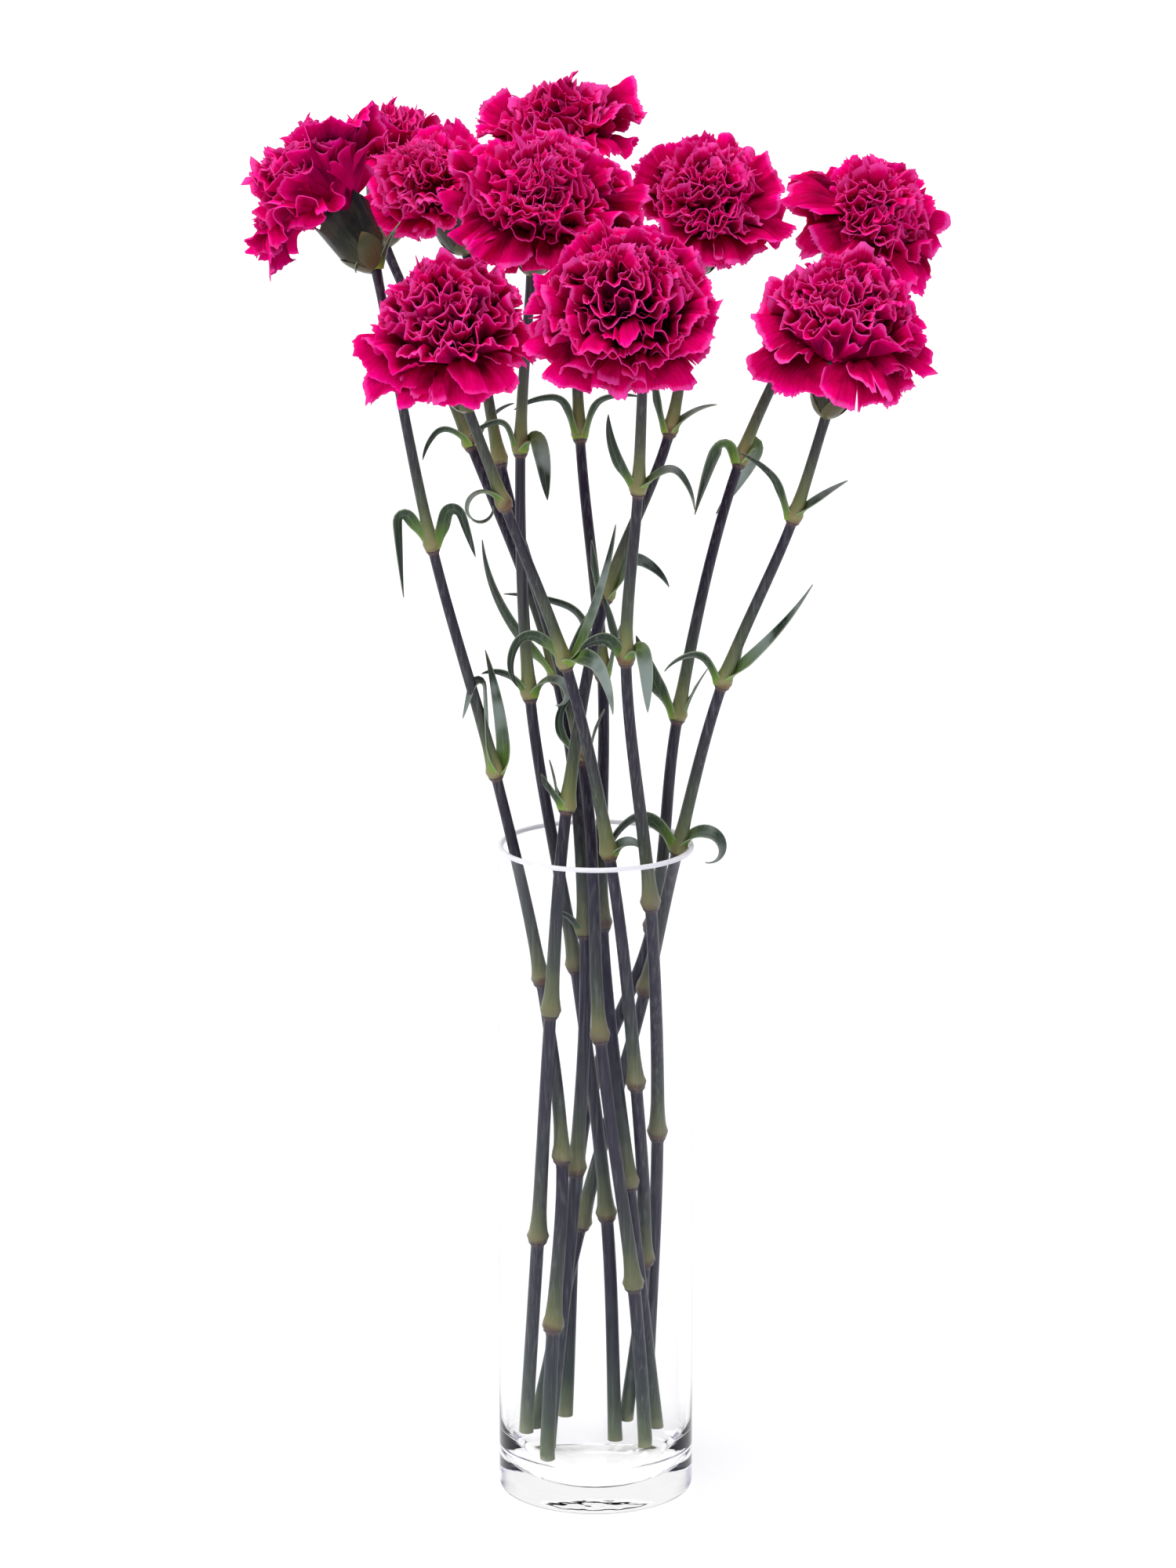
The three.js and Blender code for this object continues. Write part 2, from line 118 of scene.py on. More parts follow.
PETAL_THICKNESS = 0.3
CLAW_SHARE = 0.2  # the narrow foot of a petal, as a share of its length
CLAW_HALF = 2.2
CLAW_ROUNDING = 0.012  # how softly the claw opens into the fan
CLAW_OFFSET = 0.014  # what that adds at the root
BLOOM_RADIUS = 40  # the radius that the layers below are written for
BLOOM_SEED_STEP = 977
LEAF_SEED_STEP = 31
VEIN_SPAN = 30  # half of a petal's width in the pattern of its veins
ROW_SPACING = 0.66  # under 1, the rows of a petal lie closer towards its margin
SIDE_RIM = 2.5  # least distance of its sides from the margin, for its colour

# The margin of a petal falls off by rounding and, near its corners, by corner. Lobes
# are (height, waves). All three are shares of the length, and slits are in millimetres.
ROUNDING, CORNER = 0.05, 0.16
LOBES = ((0.03, 5), (0.018, 11))
MOST_SLITS = 2
SLIT_DEPTH = (3, 8)
SLIT_SIDE_DEPTH = (1, 3)
SLIT_CLEARANCE = 4  # columns without a slit at either side

# The teeth of the margin, in millimetres.
TOOTH_SPREAD = 0.45
TOOTH_STEP = 0.3
LONG_TEETH = 0.1  # share of the teeth that are long
LONG_TOOTH = (0.2, 1.0)
ROUGH_TURN = (8, 16)  # turn, in radians, of the wave that makes them uneven along the margin
PHASES = (0, 6)  # where the waves of the margin start, in radians

# What chance does to a petal: it adds degrees to the angles fall, rise and lean, and
# takes a share of the rest.
CHANCE = {"fall": (-24, 18), "guard_fall": (-5, 5), "rise": (-9, 9), "lean": (-22, 22),
          "reach": (0.84, 1.06), "fan": (0.86, 1.12), "flare": (0.2, 1.3), "ruffle": (0.6, 1.25),
          "folds": (0.85, 1.2)}
PLACE_CHANCE = 0.34  # how far a petal strays from its place, as a share of the gap
LAYER_TURN = 0.37  # turn from one layer to the next, likewise
CRUMPLE_HEIGHT = 0.7
CRUMPLE_WAVES = (9, 12, 15, 21)
PLEAT_WAVES = (3.2, 4.3, 5.6)
LEAST_CURL = 7  # smallest radius that a petal wraps round
MOST_TURN = 1.9  # and how far round it, in radians

# Layers of petals, from the drooping guard petals to the upright middle ones. Each
# flower lists its own guard petals, so their layer has no count. columns and rows are
# those of a petal's grid of points, reach is its length and fan half of its fan's
# angle. Its middle line leaves the root (root_r, root_z) at rise and bends to fall,
# later for a higher curl, and its margin flares out by flare more. ruffle is the height
# of the folds at the margin, folds their number, pleat the height of the fine pleats
# and teeth a share of the usual teeth. shade is how fast painted shade darkens its
# colour away from the margin, faster for the inner layers that lie deeper in the bloom.
# wrap curls its sides round the bloom's middle, and spin turns it by chance about its root.
LAYERS = [
    dict(columns=99, rows=13, reach=43, fan=48, rise=60, fall=-76, curl=1.4, flare=0,
         ruffle=3.8, folds=2.6, pleat=0.45, teeth=1.2, shade=1.0, wrap=0.35, spin=8, root_r=6.5, root_z=27),
    dict(count=8, columns=81, rows=11, reach=38, fan=46, rise=38, fall=58, curl=1.1, flare=60,
         ruffle=4.0, folds=2.8, pleat=0.7, teeth=1.2, shade=1.15, wrap=0.8, spin=14, root_r=5.5, root_z=28),
    dict(count=8, columns=69, rows=10, reach=40, fan=42, rise=50, fall=70, curl=1.1, flare=60,
         ruffle=3.9, folds=2.7, pleat=0.8, teeth=1.4, shade=1.4, wrap=0.85, spin=20, root_r=4.8, root_z=28),
    dict(count=7, columns=61, rows=9, reach=41, fan=38, rise=62, fall=76, curl=1.2, flare=60,
         ruffle=3.8, folds=2.5, pleat=0.9, teeth=1.9, shade=1.7, wrap=0.8, spin=32, root_r=4, root_z=28.5),
    dict(count=7, columns=53, rows=8, reach=41, fan=34, rise=72, fall=82, curl=1.2, flare=60,
         ruffle=3.6, folds=2.3, pleat=0.9, teeth=2.3, shade=2.0, wrap=0.7, spin=50, root_r=3, root_z=29),
    dict(count=6, columns=49, rows=8, reach=42, fan=32, rise=80, fall=86, curl=1.2, flare=60,
         ruffle=3.4, folds=2.2, pleat=0.9, teeth=2.5, shade=2.2, wrap=0.6, spin=90, root_r=2.2, root_z=29),
    dict(count=5, columns=45, rows=8, reach=42, fan=29, rise=88, fall=88, curl=1.2, flare=60,
         ruffle=3.2, folds=2.0, pleat=0.9, teeth=2.5, shade=2.2, wrap=0.5, spin=180, root_r=1.2, root_z=29),
]
SAG = 0.8  # how far guard petals on a tilted bloom give way downhill, as a share of its tilt
RISE_SAG = 0.3  # share of that which their rise gives way

# The flowers. radius is the bloom's, dome a share of the inner petals' usual length and
# girth the calyx's width. stand is how far the inner petals on the lower side of a
# tilted bloom stand up, as a share of its tilt. foot is where the cut end stands,
# [x, y], joints are the swollen nodes from the foot up, neck is the top of the stem,
# and facing is the way the bloom looks. Each leaf is [joint, heading, length, width,
# rise, bend, twist, kink]: kink 0 curves evenly and 1 folds over at one place, which a
# last number moves along the leaf. Each guard petal is [heading, stretch, fall, ruffle].
FLOWERS = [
    dict(name="1", stand=-0.6, radius=38, dome=0.98, girth=1.2,
         foot=[-22, -22], neck=[-94, -40, 564], facing=[-0.54, 0.25, 0.8],
         joints=[[-19, -18, 80], [-15, -8, 156], [-24, -3, 237], [-44, -5, 332], [-71, -18, 437]],
         leaves=[[4, 30, 58, 6, 94, -14, 50, 0], [4, 205, 64, 7, 88, 160, -40, 1, 0.62],
                 [5, 195, 57, 6, 56, 150, 60, 1, 0.26], [5, -20, 44, 6, 80, 150, -60, 1],
                 [6, 205, 12, 4, 20, 150, 40, 0.3], [6, -10, 22, 4, 82, 30, -30, 0]],
         guards=[[165, 1, -40, 1], [186, 0.9, -88, 1], [206, 1, -84, 1], [250, 0.62, -84, 1.3],
                 [285, 0.85, 20, 0.8], [322, 1.2, -26, 1], [2, 1.06, -12, 1], [60, 1, 0, 1],
                 [112, 1, -40, 1]]),
    dict(name="2", stand=0, radius=30, dome=1.02, girth=1,
         foot=[-22, 10], neck=[-94, 93, 551], facing=[0.07, 0.15, 0.99],
         joints=[[-9, 3, 147], [-5, 5, 257], [-17, 21, 369], [-55, 51, 468]],
         leaves=[[2, 190, 17, 5, 60, 60, 40, 0], [3, 170, 70, 7, 42, -45, 55, 0],
                 [3, 12, 34, 5, 78, 20, -50, 0], [4, 190, 30, 4, 30, 110, 50, 0.5],
                 [4, 20, 26, 4, 70, 60, -50, 0]],
         guards=[[178, 1, 20, 1], [215, 1, -40, 1], [262, 0.95, -60, 1], [305, 1, -50, 1],
                 [355, 1.08, 34, 0.8], [45, 1, 16, 1], [90, 1, -30, 1], [135, 1, -30, 1]]),
    dict(name="3", stand=-0.4, radius=30, dome=0.95, girth=1,
         foot=[23, 10], neck=[-57, 52, 556], facing=[-0.36, -0.46, 0.81],
         joints=[[17, -6, 96], [2, -8, 212], [-6, 6, 336], [-42, 30, 465]],
         leaves=[[3, 180, 34, 5, 36, -120, 50, 0], [3, 30, 23, 4, 78, 20, -50, 0]],
         guards=[[150, 1, 0, 1], [184, 0.95, -24, 1], [222, 0.72, -44, 1], [258, 0.7, -36, 1.2],
                 [296, 0.86, -24, 1], [340, 1, -20, 1], [30, 1, -20, 1], [90, 1, -20, 1]]),
    dict(name="4", stand=0.5, radius=35, dome=1.15, girth=0.95,
         foot=[14, 30], neck=[-55, -48, 505], facing=[-0.18, -0.42, 0.88],
         joints=[[22, 14, 101], [18, 0, 188], [6, -15, 298], [-13, -28, 387], [-39, -40, 460]],
         leaves=[[3, 0, 15, 5, 60, 150, 50, 0], [4, 195, 48, 6, 62, 190, 50, 0.3],
                 [4, -50, 44, 8, 8, 95, 60, 0.3], [4, -10, 66, 6, 66, -16, 55, 0],
                 [5, 200, 40, 7, 50, 330, 10, 0], [6, 188, 20, 5, 30, -20, 40, 0]],
         guards=[[166, 0.95, -20, 1], [190, 0.98, -46, 0.9], [216, 0.92, -88, 1.2], [250, 0.76, -70, 1.3],
                 [284, 1.02, -92, 0.8], [312, 1, -84, 1], [344, 0.94, -66, 0.8], [15, 0.95, -20, 1],
                 [65, 0.95, -20, 1], [115, 1, -30, 1]]),
    dict(name="5", stand=0.4, radius=41, dome=0.9, girth=1,
         foot=[9, 24], neck=[-28, 6, 555], facing=[0.12, -0.55, 0.83],
         joints=[[5, 18, 121], [-9, 12, 239], [-29, 5, 365], [-33, 4, 475]],
         leaves=[[3, 190, 24, 5, 60, 80, 50, 0], [3, -20, 30, 7, 70, 250, 20, 0],
                 [4, 180, 30, 5, 82, 125, 45, 0.6], [4, -25, 36, 8, 66, 150, 60, 1, 0.12]],
         guards=[[168, 1, -4, 1.6], [186, 0.8, 10, 1.6], [202, 0.86, -60, 1.4], [228, 0.9, -84, 1.2],
                 [254, 0.76, -80, 1], [262, 0.8, 62, 0.3], [236, 0.82, 58, 0.35], [300, 0.75, -60, 1.2],
                 [330, 1, -20, 1.3], [342, 0.8, 10, 1.6], [356, 1.06, 0, 1.5], [40, 0.9, -40, 1],
                 [90, 0.8, -40, 1], [132, 0.85, -40, 1]]),
    dict(name="6", stand=0, radius=38, dome=0.85, girth=1,
         foot=[28, 18], neck=[-10, 65, 565], facing=[-0.13, -0.05, 0.99],
         joints=[[15, 1, 141], [3, 13, 258], [3, 28, 369], [-7, 45, 473]],
         leaves=[[3, 165, 64, 6, 82, 84, 50, 0.6], [3, 10, 30, 7, 84, 20, -40, 0],
                 [4, 185, 40, 5, 86, 120, 40, 0.5], [4, 0, 36, 5, 86, 100, -40, 0.4]],
         guards=[[160, 1, 30, 0.8], [192, 0.95, 0, 1], [235, 1, -50, 1], [270, 1, -60, 1], [310, 1, -50, 1],
                 [350, 1, -30, 1], [25, 1.05, -10, 1], [75, 1, -30, 1], [120, 1, -20, 1]]),
    dict(name="7", stand=-0.2, radius=40, dome=1.1, girth=1,
         foot=[23, 26], neck=[20, -53, 523], facing=[-0.16, -0.65, 0.74],
         joints=[[28, 16, 160], [24, -14, 275], [13, -33, 390], [18, -42, 467]],
         leaves=[[3, 170, 30, 6, 82, 10, 40, 0], [3, 205, 26, 8, 66, 110, 60, 0.3],
                 [3, -30, 36, 7, 76, 165, 55, 1, 0.1], [4, 190, 36, 6, 56, -36, 50, 0],
                 [4, -15, 38, 4, 44, 130, 50, 0.5]],
         guards=[[160, 1, -6, 1], [192, 1.02, -34, 1], [220, 0.96, -52, 1.1], [246, 0.8, -64, 1.1],
                 [274, 0.8, -66, 1.1], [303, 0.92, -54, 1.1], [332, 0.98, -34, 1], [2, 0.96, -10, 1],
                 [50, 0.95, 0, 1], [100, 0.95, 0, 1]]),
    dict(name="8", stand=0.5, radius=36, dome=0.92, girth=1,
         foot=[-32, 10], neck=[43, 34, 550], facing=[0.13, -0.58, 0.8],
         joints=[[-26, -3, 117], [-20, -16, 226], [-13, -11, 318], [4, 2, 410], [32, 17, 481]],
         leaves=[[3, 190, 18, 5, 50, -20, 40, 0], [3, 160, 22, 4, 84, 10, 40, 0],
                 [4, 175, 26, 6, 86, 0, 40, 0], [4, 15, 42, 7, 76, 140, 50, 0.5],
                 [5, 175, 30, 6, 78, -14, 50, 0], [5, 12, 23, 3, 40, 40, 40, 0]],
         guards=[[172, 1.04, 22, 0.8], [212, 0.85, -10, 1], [250, 0.72, -30, 1], [284, 0.62, -60, 0.9],
                 [318, 0.8, -44, 0.8], [348, 0.96, -30, 0.9], [25, 1, 10, 1], [80, 0.95, -10, 1],
                 [125, 0.95, 0, 1]]),
    dict(name="9", stand=1.1, radius=36, dome=1.15, girth=1,
         foot=[-28, 18], neck=[99, -33, 499], facing=[0.14, -0.32, 0.93],
         joints=[[-7, 24, 115], [22, 16, 227], [36, -2, 297], [55, -18, 376], [85, -29, 452]],
         leaves=[[3, 200, 48, 8, 66, 150, 55, 0.3], [3, -10, 36, 8, 62, 250, 50, 0],
                 [4, 185, 32, 7, 74, 125, 50, 0.4], [4, -15, 60, 6, 40, -20, 60, 0],
                 [4, 25, 26, 4, 60, -30, 50, 0], [5, 180, 38, 5, 84, 60, 50, 0.3],
                 [5, -10, 28, 4, 36, 6, 50, 0]],
         guards=[[150, 0.96, 30, 0.9], [174, 0.98, -50, 1], [196, 1.06, -26, 1], [234, 0.98, -88, 0.8],
                 [290, 1.03, -92, 0.9], [322, 1, -80, 0.9], [336, 0.85, -50, 1.2], [350, 0.98, -50, 1],
                 [20, 0.95, -20, 1], [70, 0.95, -20, 1], [112, 0.95, -10, 1]]),
    dict(name="10", stand=0.3, radius=34, dome=0.86, girth=1,
         foot=[-14, 31], neck=[103, 57, 546], facing=[0.45, -0.55, 0.7],
         joints=[[-4, 31, 169], [25, 19, 255], [36, 18, 352], [63, 34, 464]],
         leaves=[[3, 175, 40, 9, 62, -10, 60, 0], [3, 20, 24, 6, 64, 10, -40, 0],
                 [4, 190, 43, 9, 76, 148, 60, 1, 0.12], [4, 12, 46, 8, 80, 205, 60, 1, 0.12]],
         guards=[[138, 0.85, -50, 0.8], [176, 1.25, -125, 1.3], [204, 1.14, -120, 1.2], [240, 0.95, -50, 1],
                 [280, 0.95, -60, 1], [312, 0.88, -84, 1], [340, 1.05, -76, 1], [15, 0.95, -40, 1],
                 [60, 0.9, 0, 1], [100, 0.9, 0, 1]]),
]

# ---------- meshes ----------


def spread(values, count):
    """One value for each of count points, from as many values or from one."""
    return np.broadcast_to(np.asarray(values, float).reshape(-1), count)


class Body:
    """Points, faces of three or four corners, and named values at the points."""

    def __init__(self, points, faces, **facts):
        self.points = np.asarray(points, float).reshape(-1, 3)
        self.faces = [np.asarray(f, int) for f in faces]
        self.facts = {key: spread(values, len(self.points)) for key, values in facts.items()}


def joined(bodies):
    """One body made of several. A fact that one of them lacks is 0 there."""
    names = sorted({k for b in bodies for k in b.facts})
    points, faces, start = [], [], 0
    for body in bodies:
        points.append(body.points)
        faces += [f + start for f in body.faces]
        start += len(body.points)
    facts = {k: np.concatenate([b.facts.get(k, np.zeros(len(b.points))) for b in bodies]) for k in names}
    return Body(np.concatenate(points), faces, **facts)


def add_object(name, data):
    made = bpy.data.objects.new(name, data)
    bpy.context.scene.collection.objects.link(made)
    return made


def new_piece(name, body, material, node, sharp=75):
    """Makes the mesh object, in metres, in place of a node of the frame. Edges stay
    sharp that bend by more than sharp degrees."""
    mesh = bpy.data.meshes.new(name)
    corners = np.concatenate([f.reshape(-1) for f in body.faces])
    sizes = np.concatenate([np.full(len(f), f.shape[1]) for f in body.faces])
    mesh.vertices.add(len(body.points))
    mesh.vertices.foreach_set("co", (body.points * MM).astype(np.float32).reshape(-1))
    mesh.loops.add(len(corners))
    mesh.loops.foreach_set("vertex_index", corners.astype(np.int32))
    mesh.polygons.add(len(sizes))
    mesh.polygons.foreach_set("loop_start", (np.cumsum(sizes) - sizes).astype(np.int32))
    mesh.update(calc_edges=True)
    mesh.validate()
    for key, values in body.facts.items():
        layer = mesh.attributes.new(key, "FLOAT", "POINT")
        layer.data.foreach_set("value", values.astype(np.float32))
    mesh.polygons.foreach_set("use_smooth", np.ones(len(mesh.polygons), bool))
    mesh.set_sharp_from_angle(angle=math.radians(sharp))
    mesh.materials.append(material)
    piece = add_object(name, mesh)
    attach(piece, "root")
    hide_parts(node)
    return piece


def grid_faces(rows, columns, closed=False):
    """Quads of a grid of points. closed joins the last column to the first."""
    across = columns if closed else columns - 1
    low = np.arange(rows - 1)[:, None] * columns
    k = np.arange(across)[None, :]
    k2 = (k + 1) % columns
    quads = np.stack([low + k, low + k2, low + columns + k2, low + columns + k], axis=-1)
    return quads.reshape(-1, 4)


def sheet(points, thickness, **facts):
    """A closed thin sheet round a grid of points, with a rim along all four edges."""
    rows, columns, _ = points.shape
    along = np.gradient(points, axis=0)
    across = np.gradient(points, axis=1)
    normal = np.cross(across, along)
    normal /= np.linalg.norm(normal, axis=2, keepdims=True) + 1e-9
    count = rows * columns
    upper = grid_faces(rows, columns)
    index = np.arange(count).reshape(rows, columns)
    loop = np.concatenate([index[0, :-1], index[:-1, -1], index[-1, :0:-1], index[:0:-1, 0]])
    after = np.roll(loop, -1)
    rim = np.stack([loop, loop + count, after + count, after], axis=-1)
    both = {key: np.tile(spread(values, count), 2) for key, values in facts.items()}
    both["back"] = np.concatenate([np.ones(count), np.zeros(count)])
    half = normal * thickness / 2
    both_sides = np.concatenate([(points + half).reshape(-1, 3), (points - half).reshape(-1, 3)])
    return Body(both_sides, [upper, upper[:, ::-1] + count, rim], **both)


def tube(rings, **facts):
    """A solid through rings of points, its ends filled with fans round their middles.
    The facts have one value for each ring."""
    rows, columns, _ = rings.shape
    count = rows * columns
    last = count - columns
    points = np.concatenate([rings.reshape(-1, 3), rings[0].mean(0)[None], rings[-1].mean(0)[None]])
    k = np.arange(columns)
    k2 = (k + 1) % columns
    faces = [grid_faces(rows, columns, closed=True),
             np.stack([k2, k, np.full(columns, count)], axis=-1),
             np.stack([last + k, last + k2, np.full(columns, count + 1)], axis=-1)]
    facts = {key: [*np.repeat(values, columns), values[0], values[-1]] for key, values in facts.items()}
    return Body(points, faces, **facts)


def unit(v):
    v = np.asarray(v, float)
    return v / np.linalg.norm(v, axis=-1, keepdims=True)


def placed(body, flower):
    """Turns a body built round +Z to stand on the neck and look along facing."""
    facing = Vector(flower["facing"]).normalized()
    turn = np.array(Vector((0, 0, 1)).rotation_difference(facing).to_matrix())
    body.points = body.points @ turn.T + np.array(flower["neck"], float)
    return body


# ---------- vase ----------


def floor_height(distance, clearance):
    """Height of a point that lies a clearance off the dished floor of the vase."""
    across = max(distance - (INNER_RADIUS - VASE["dish"]), 0)
    return VASE["floor"] + VASE["dish"] - math.sqrt((VASE["dish"] - clearance) ** 2 - across ** 2)


def arc(centre_r, centre_z, radius, start, end, steps):
    angles = np.radians(np.linspace(start, end, steps))
    return [(centre_r + radius * math.cos(a), centre_z + radius * math.sin(a)) for a in angles]


def vase_body():
    rim = VASE["wall"] / 2
    profile = [(VASE["radius"] * share, 0) for share in BASE_RINGS]
    profile += arc(VASE["radius"] - VASE["heel"], VASE["heel"], VASE["heel"], -90, 0, 10)
    profile += [(VASE["radius"], VASE["height"] * share) for share in OUTER_RINGS]
    profile += [(VASE["radius"], VASE["height"] - LIP_DEPTH)]
    profile += arc(VASE["radius"] - rim, VASE["height"] - rim, rim, 0, 180, 11)
    profile += [(INNER_RADIUS, VASE["height"] - LIP_DEPTH)]
    profile += [(INNER_RADIUS, VASE["height"] * share) for share in INNER_RINGS]
    profile += arc(INNER_RADIUS - VASE["dish"], VASE["floor"] + VASE["dish"], VASE["dish"], 0, -90, 18)
    profile += [(FLOOR_RING, VASE["floor"])]
    turn = np.linspace(0, 2 * math.pi, VASE["sides"], endpoint=False)
    r, z = np.array(profile).T[:, :, None]
    return tube(np.stack([r * np.cos(turn), r * np.sin(turn), np.repeat(z, len(turn), 1)], -1))


# ---------- stems and leaves ----------


def stem_points(flower):
    x, y = flower["foot"]
    foot = [x, y, floor_height(math.hypot(x, y) + FOOT_RADIUS, FOOT_GAP)]
    return np.array([foot, *flower["joints"], flower["neck"]], float)


def curve_at(points, t):
    """Points of a centripetal Catmull-Rom curve through points, at t from 0 to 1."""
    spans = len(points) - 1
    padded = np.array([2 * points[0] - points[1], *points, 2 * points[-1] - points[-2]])
    place = np.clip(np.asarray(t, float), 0, 1) * spans
    low = np.minimum(place.astype(int), spans - 1)
    w = (place - low)[:, None]
    a, b, c, d = (padded[low + i] for i in range(4))
    pairs = ((a, b), (b, c), (c, d))
    gap_ab, gap_bc, gap_cd = (np.sqrt(np.linalg.norm(q - p, axis=1))[:, None] for p, q in pairs)
    out_b = ((b - a) / gap_ab - (c - a) / (gap_ab + gap_bc) + (c - b) / gap_bc) * gap_bc
    out_c = ((c - b) / gap_bc - (d - b) / (gap_bc + gap_cd) + (d - c) / gap_cd) * gap_bc
    cubic = 2 * b - 2 * c + out_b + out_c
    square = 3 * c - 3 * b - 2 * out_b - out_c
    return b + out_b * w + square * w ** 2 + cubic * w ** 3


def frames(centres):
    """Unit side and front at each centre of a line."""
    tangent = unit(np.gradient(centres, axis=0))
    side = unit(np.array([1.0, 0, 0]) - tangent * tangent[:, :1])
    return side, np.cross(tangent, side)


def taper(share):
    """Radius of an evenly tapered stem at a share of its length."""
    return FOOT_RADIUS + (NECK_RADIUS - FOOT_RADIUS) * share


def bulge(distance, share, centre, width):
    return share * np.exp(-((distance - centre) / width) ** 2)


def fade(distance, share, length):
    return share * np.exp(-distance / length)


def stem_body(flower):
    """The jointed stem. Its points know how far above a joint and below the next they
    are, in millimetres, and whether they are on the first internode."""
    points = stem_points(flower)
    spans = len(points) - 1
    lengths = np.linalg.norm(np.diff(points, axis=0), axis=1)
    shares = 0.5 - 0.5 * np.cos(np.linspace(0, math.pi, STEM_RINGS))
    t, above, below, first = [], [], [], []
    for i in range(spans):
        part = shares if i == spans - 1 else shares[:-1]
        t += list((i + part) / spans)
        above += list(part * lengths[i])
        below += list((1 - part) * lengths[i])
        first += [float(i == 0)] * len(part)
    t, above, below, first = map(np.array, (t, above, below, first))
    top = t > 1 - 1 / spans - 1e-9
    joint = bulge(above, *KNOB) + bulge(above, *SHEATH) + fade(above, *JOINT_TAPER)
    swell = np.where(first > 0, fade(above, *FOOT_TAPER) + FOOT_FLARE, joint)
    lip = np.where(top, 0, bulge(below, *JOINT_LIP))
    radius = taper(t) * (SLENDER + swell + lip)
    blend = np.clip(1 - below / NECK_BLEND, 0, 1) ** 2
    radius = np.where(top, radius + (NECK_RADIUS - radius) * blend, radius)
    centres = curve_at(points, t)
    side, front = frames(centres)
    facing = unit(flower["facing"])
    centres[-1] = points[-1] - facing * SEAT
    for i, normal in ((0, np.array([0.0, 0, 1])), (-1, facing)):
        side[i] = unit(np.array([1.0, 0, 0]) - normal * normal[0])
        front[i] = np.cross(normal, side[i])
    angle = np.linspace(0, 2 * math.pi, STEM_SIDES, endpoint=False)
    ring = side[:, None] * np.cos(angle)[:, None] + front[:, None] * np.sin(angle)[:, None]
    rings = centres[:, None] + ring * radius[:, None, None]
    return tube(rings, above=above, below=np.where(top, FAR, below), first=first)


def leaf_angle(s, length, rise, bend, kink, fold_start, fold_span):
    """Angle of a leaf above level at shares s of its length, in radians."""
    folded = np.clip((s - fold_start) / fold_span, 0, 1)
    folded = folded ** 2 * (3 - 2 * folded)
    angle = np.radians(rise - bend * (s ** 1.3 * (1 - kink) + folded * kink))
    clasp = np.exp(-s * length / CLASP_LENGTH)
    return angle * (1 - clasp) + math.radians(CLASP_ANGLE) * clasp


def leaf_body(flower, leaf, rng):
    """One narrow channelled leaf that clasps the stem and curls away from it."""
    joint, heading, length, width, rise, bend, twist, kink, *place = leaf
    fold = (place[0], SHARP_FOLD_SPAN) if place else SOFT_FOLD
    points = stem_points(flower)
    spans = len(points) - 1
    root = curve_at(points, [joint / spans])[0] + [0, 0, LEAF_ROOT_LIFT]
    stem_radius = JOINT_GIRTH * taper(joint / spans)
    s = np.linspace(0, 1, LEAF_ROWS)
    distance = s * length

    turn = math.radians(heading)
    outward = np.array([math.cos(turn), math.sin(turn), 0])
    across = np.array([-outward[1], outward[0], 0])
    up = np.array([0, 0, 1.0])
    angle = leaf_angle(s, length, rise, bend, kink, *fold)
    along = np.cos(angle)[:, None] * outward + np.sin(angle)[:, None] * up
    steps = np.cumsum((along[1:] + along[:-1]) / 2, axis=0)
    middle = np.concatenate([[np.zeros(3)], steps]) * length / (LEAF_ROWS - 1)
    centre = root + outward * stem_radius + middle

    twisted = np.radians(twist + rng.uniform(-TWIST_CHANCE, TWIST_CHANCE))
    roll = twisted * np.clip(distance / TWIST_LENGTH, 0, 1)
    roll = roll + rng.uniform(-TIP_ROLL_CHANCE, TIP_ROLL_CHANCE) * s ** 2
    side = across * np.cos(roll)[:, None] + np.cross(along, across) * np.sin(roll)[:, None]
    lift = np.cross(along, side)

    base = 1 + (CLASP_WIDTH * stem_radius * 2 / width - 1) * np.exp(-(distance / CLASP_FADE) ** 1.5)
    half = width / 2 * base * np.clip(1 - s ** 2.4, 0, 1) ** 0.85 + TIP_HALF
    arc_half = CHANNEL + ROOT_CHANNEL * np.exp(-(distance / ROOT_CHANNEL_FADE) ** 1.5)
    radius = (half / arc_half)[:, None]
    c = np.linspace(-1, 1, LEAF_COLUMNS)
    around = arc_half[:, None] * c
    grid = (centre[:, None] + side[:, None] * (radius * np.sin(around))[..., None]
            + lift[:, None] * (radius * (1 - np.cos(around)))[..., None])
    return sheet(grid, LEAF_THICKNESS, leaf=1, along=np.repeat(s, LEAF_COLUMNS), across=np.tile(c, LEAF_ROWS),
                 above=np.repeat(distance, LEAF_COLUMNS), below=FAR, first=0)


def leafy_stem(flower):
    rng = np.random.default_rng(int(flower["name"]) * LEAF_SEED_STEP)
    return joined([stem_body(flower)] + [leaf_body(flower, leaf, rng) for leaf in flower["leaves"]])


# ---------- calyx ----------


def cup_radius(height, girth):
    return np.interp(height, CUP_HEIGHTS, CUP_RADII) * (1 + (girth - 1) * np.clip(height / GIRTH_FROM, 0, 1))


def ring_at(radius, angle, height):
    return np.stack([radius * np.cos(angle), radius * np.sin(angle), height], -1)


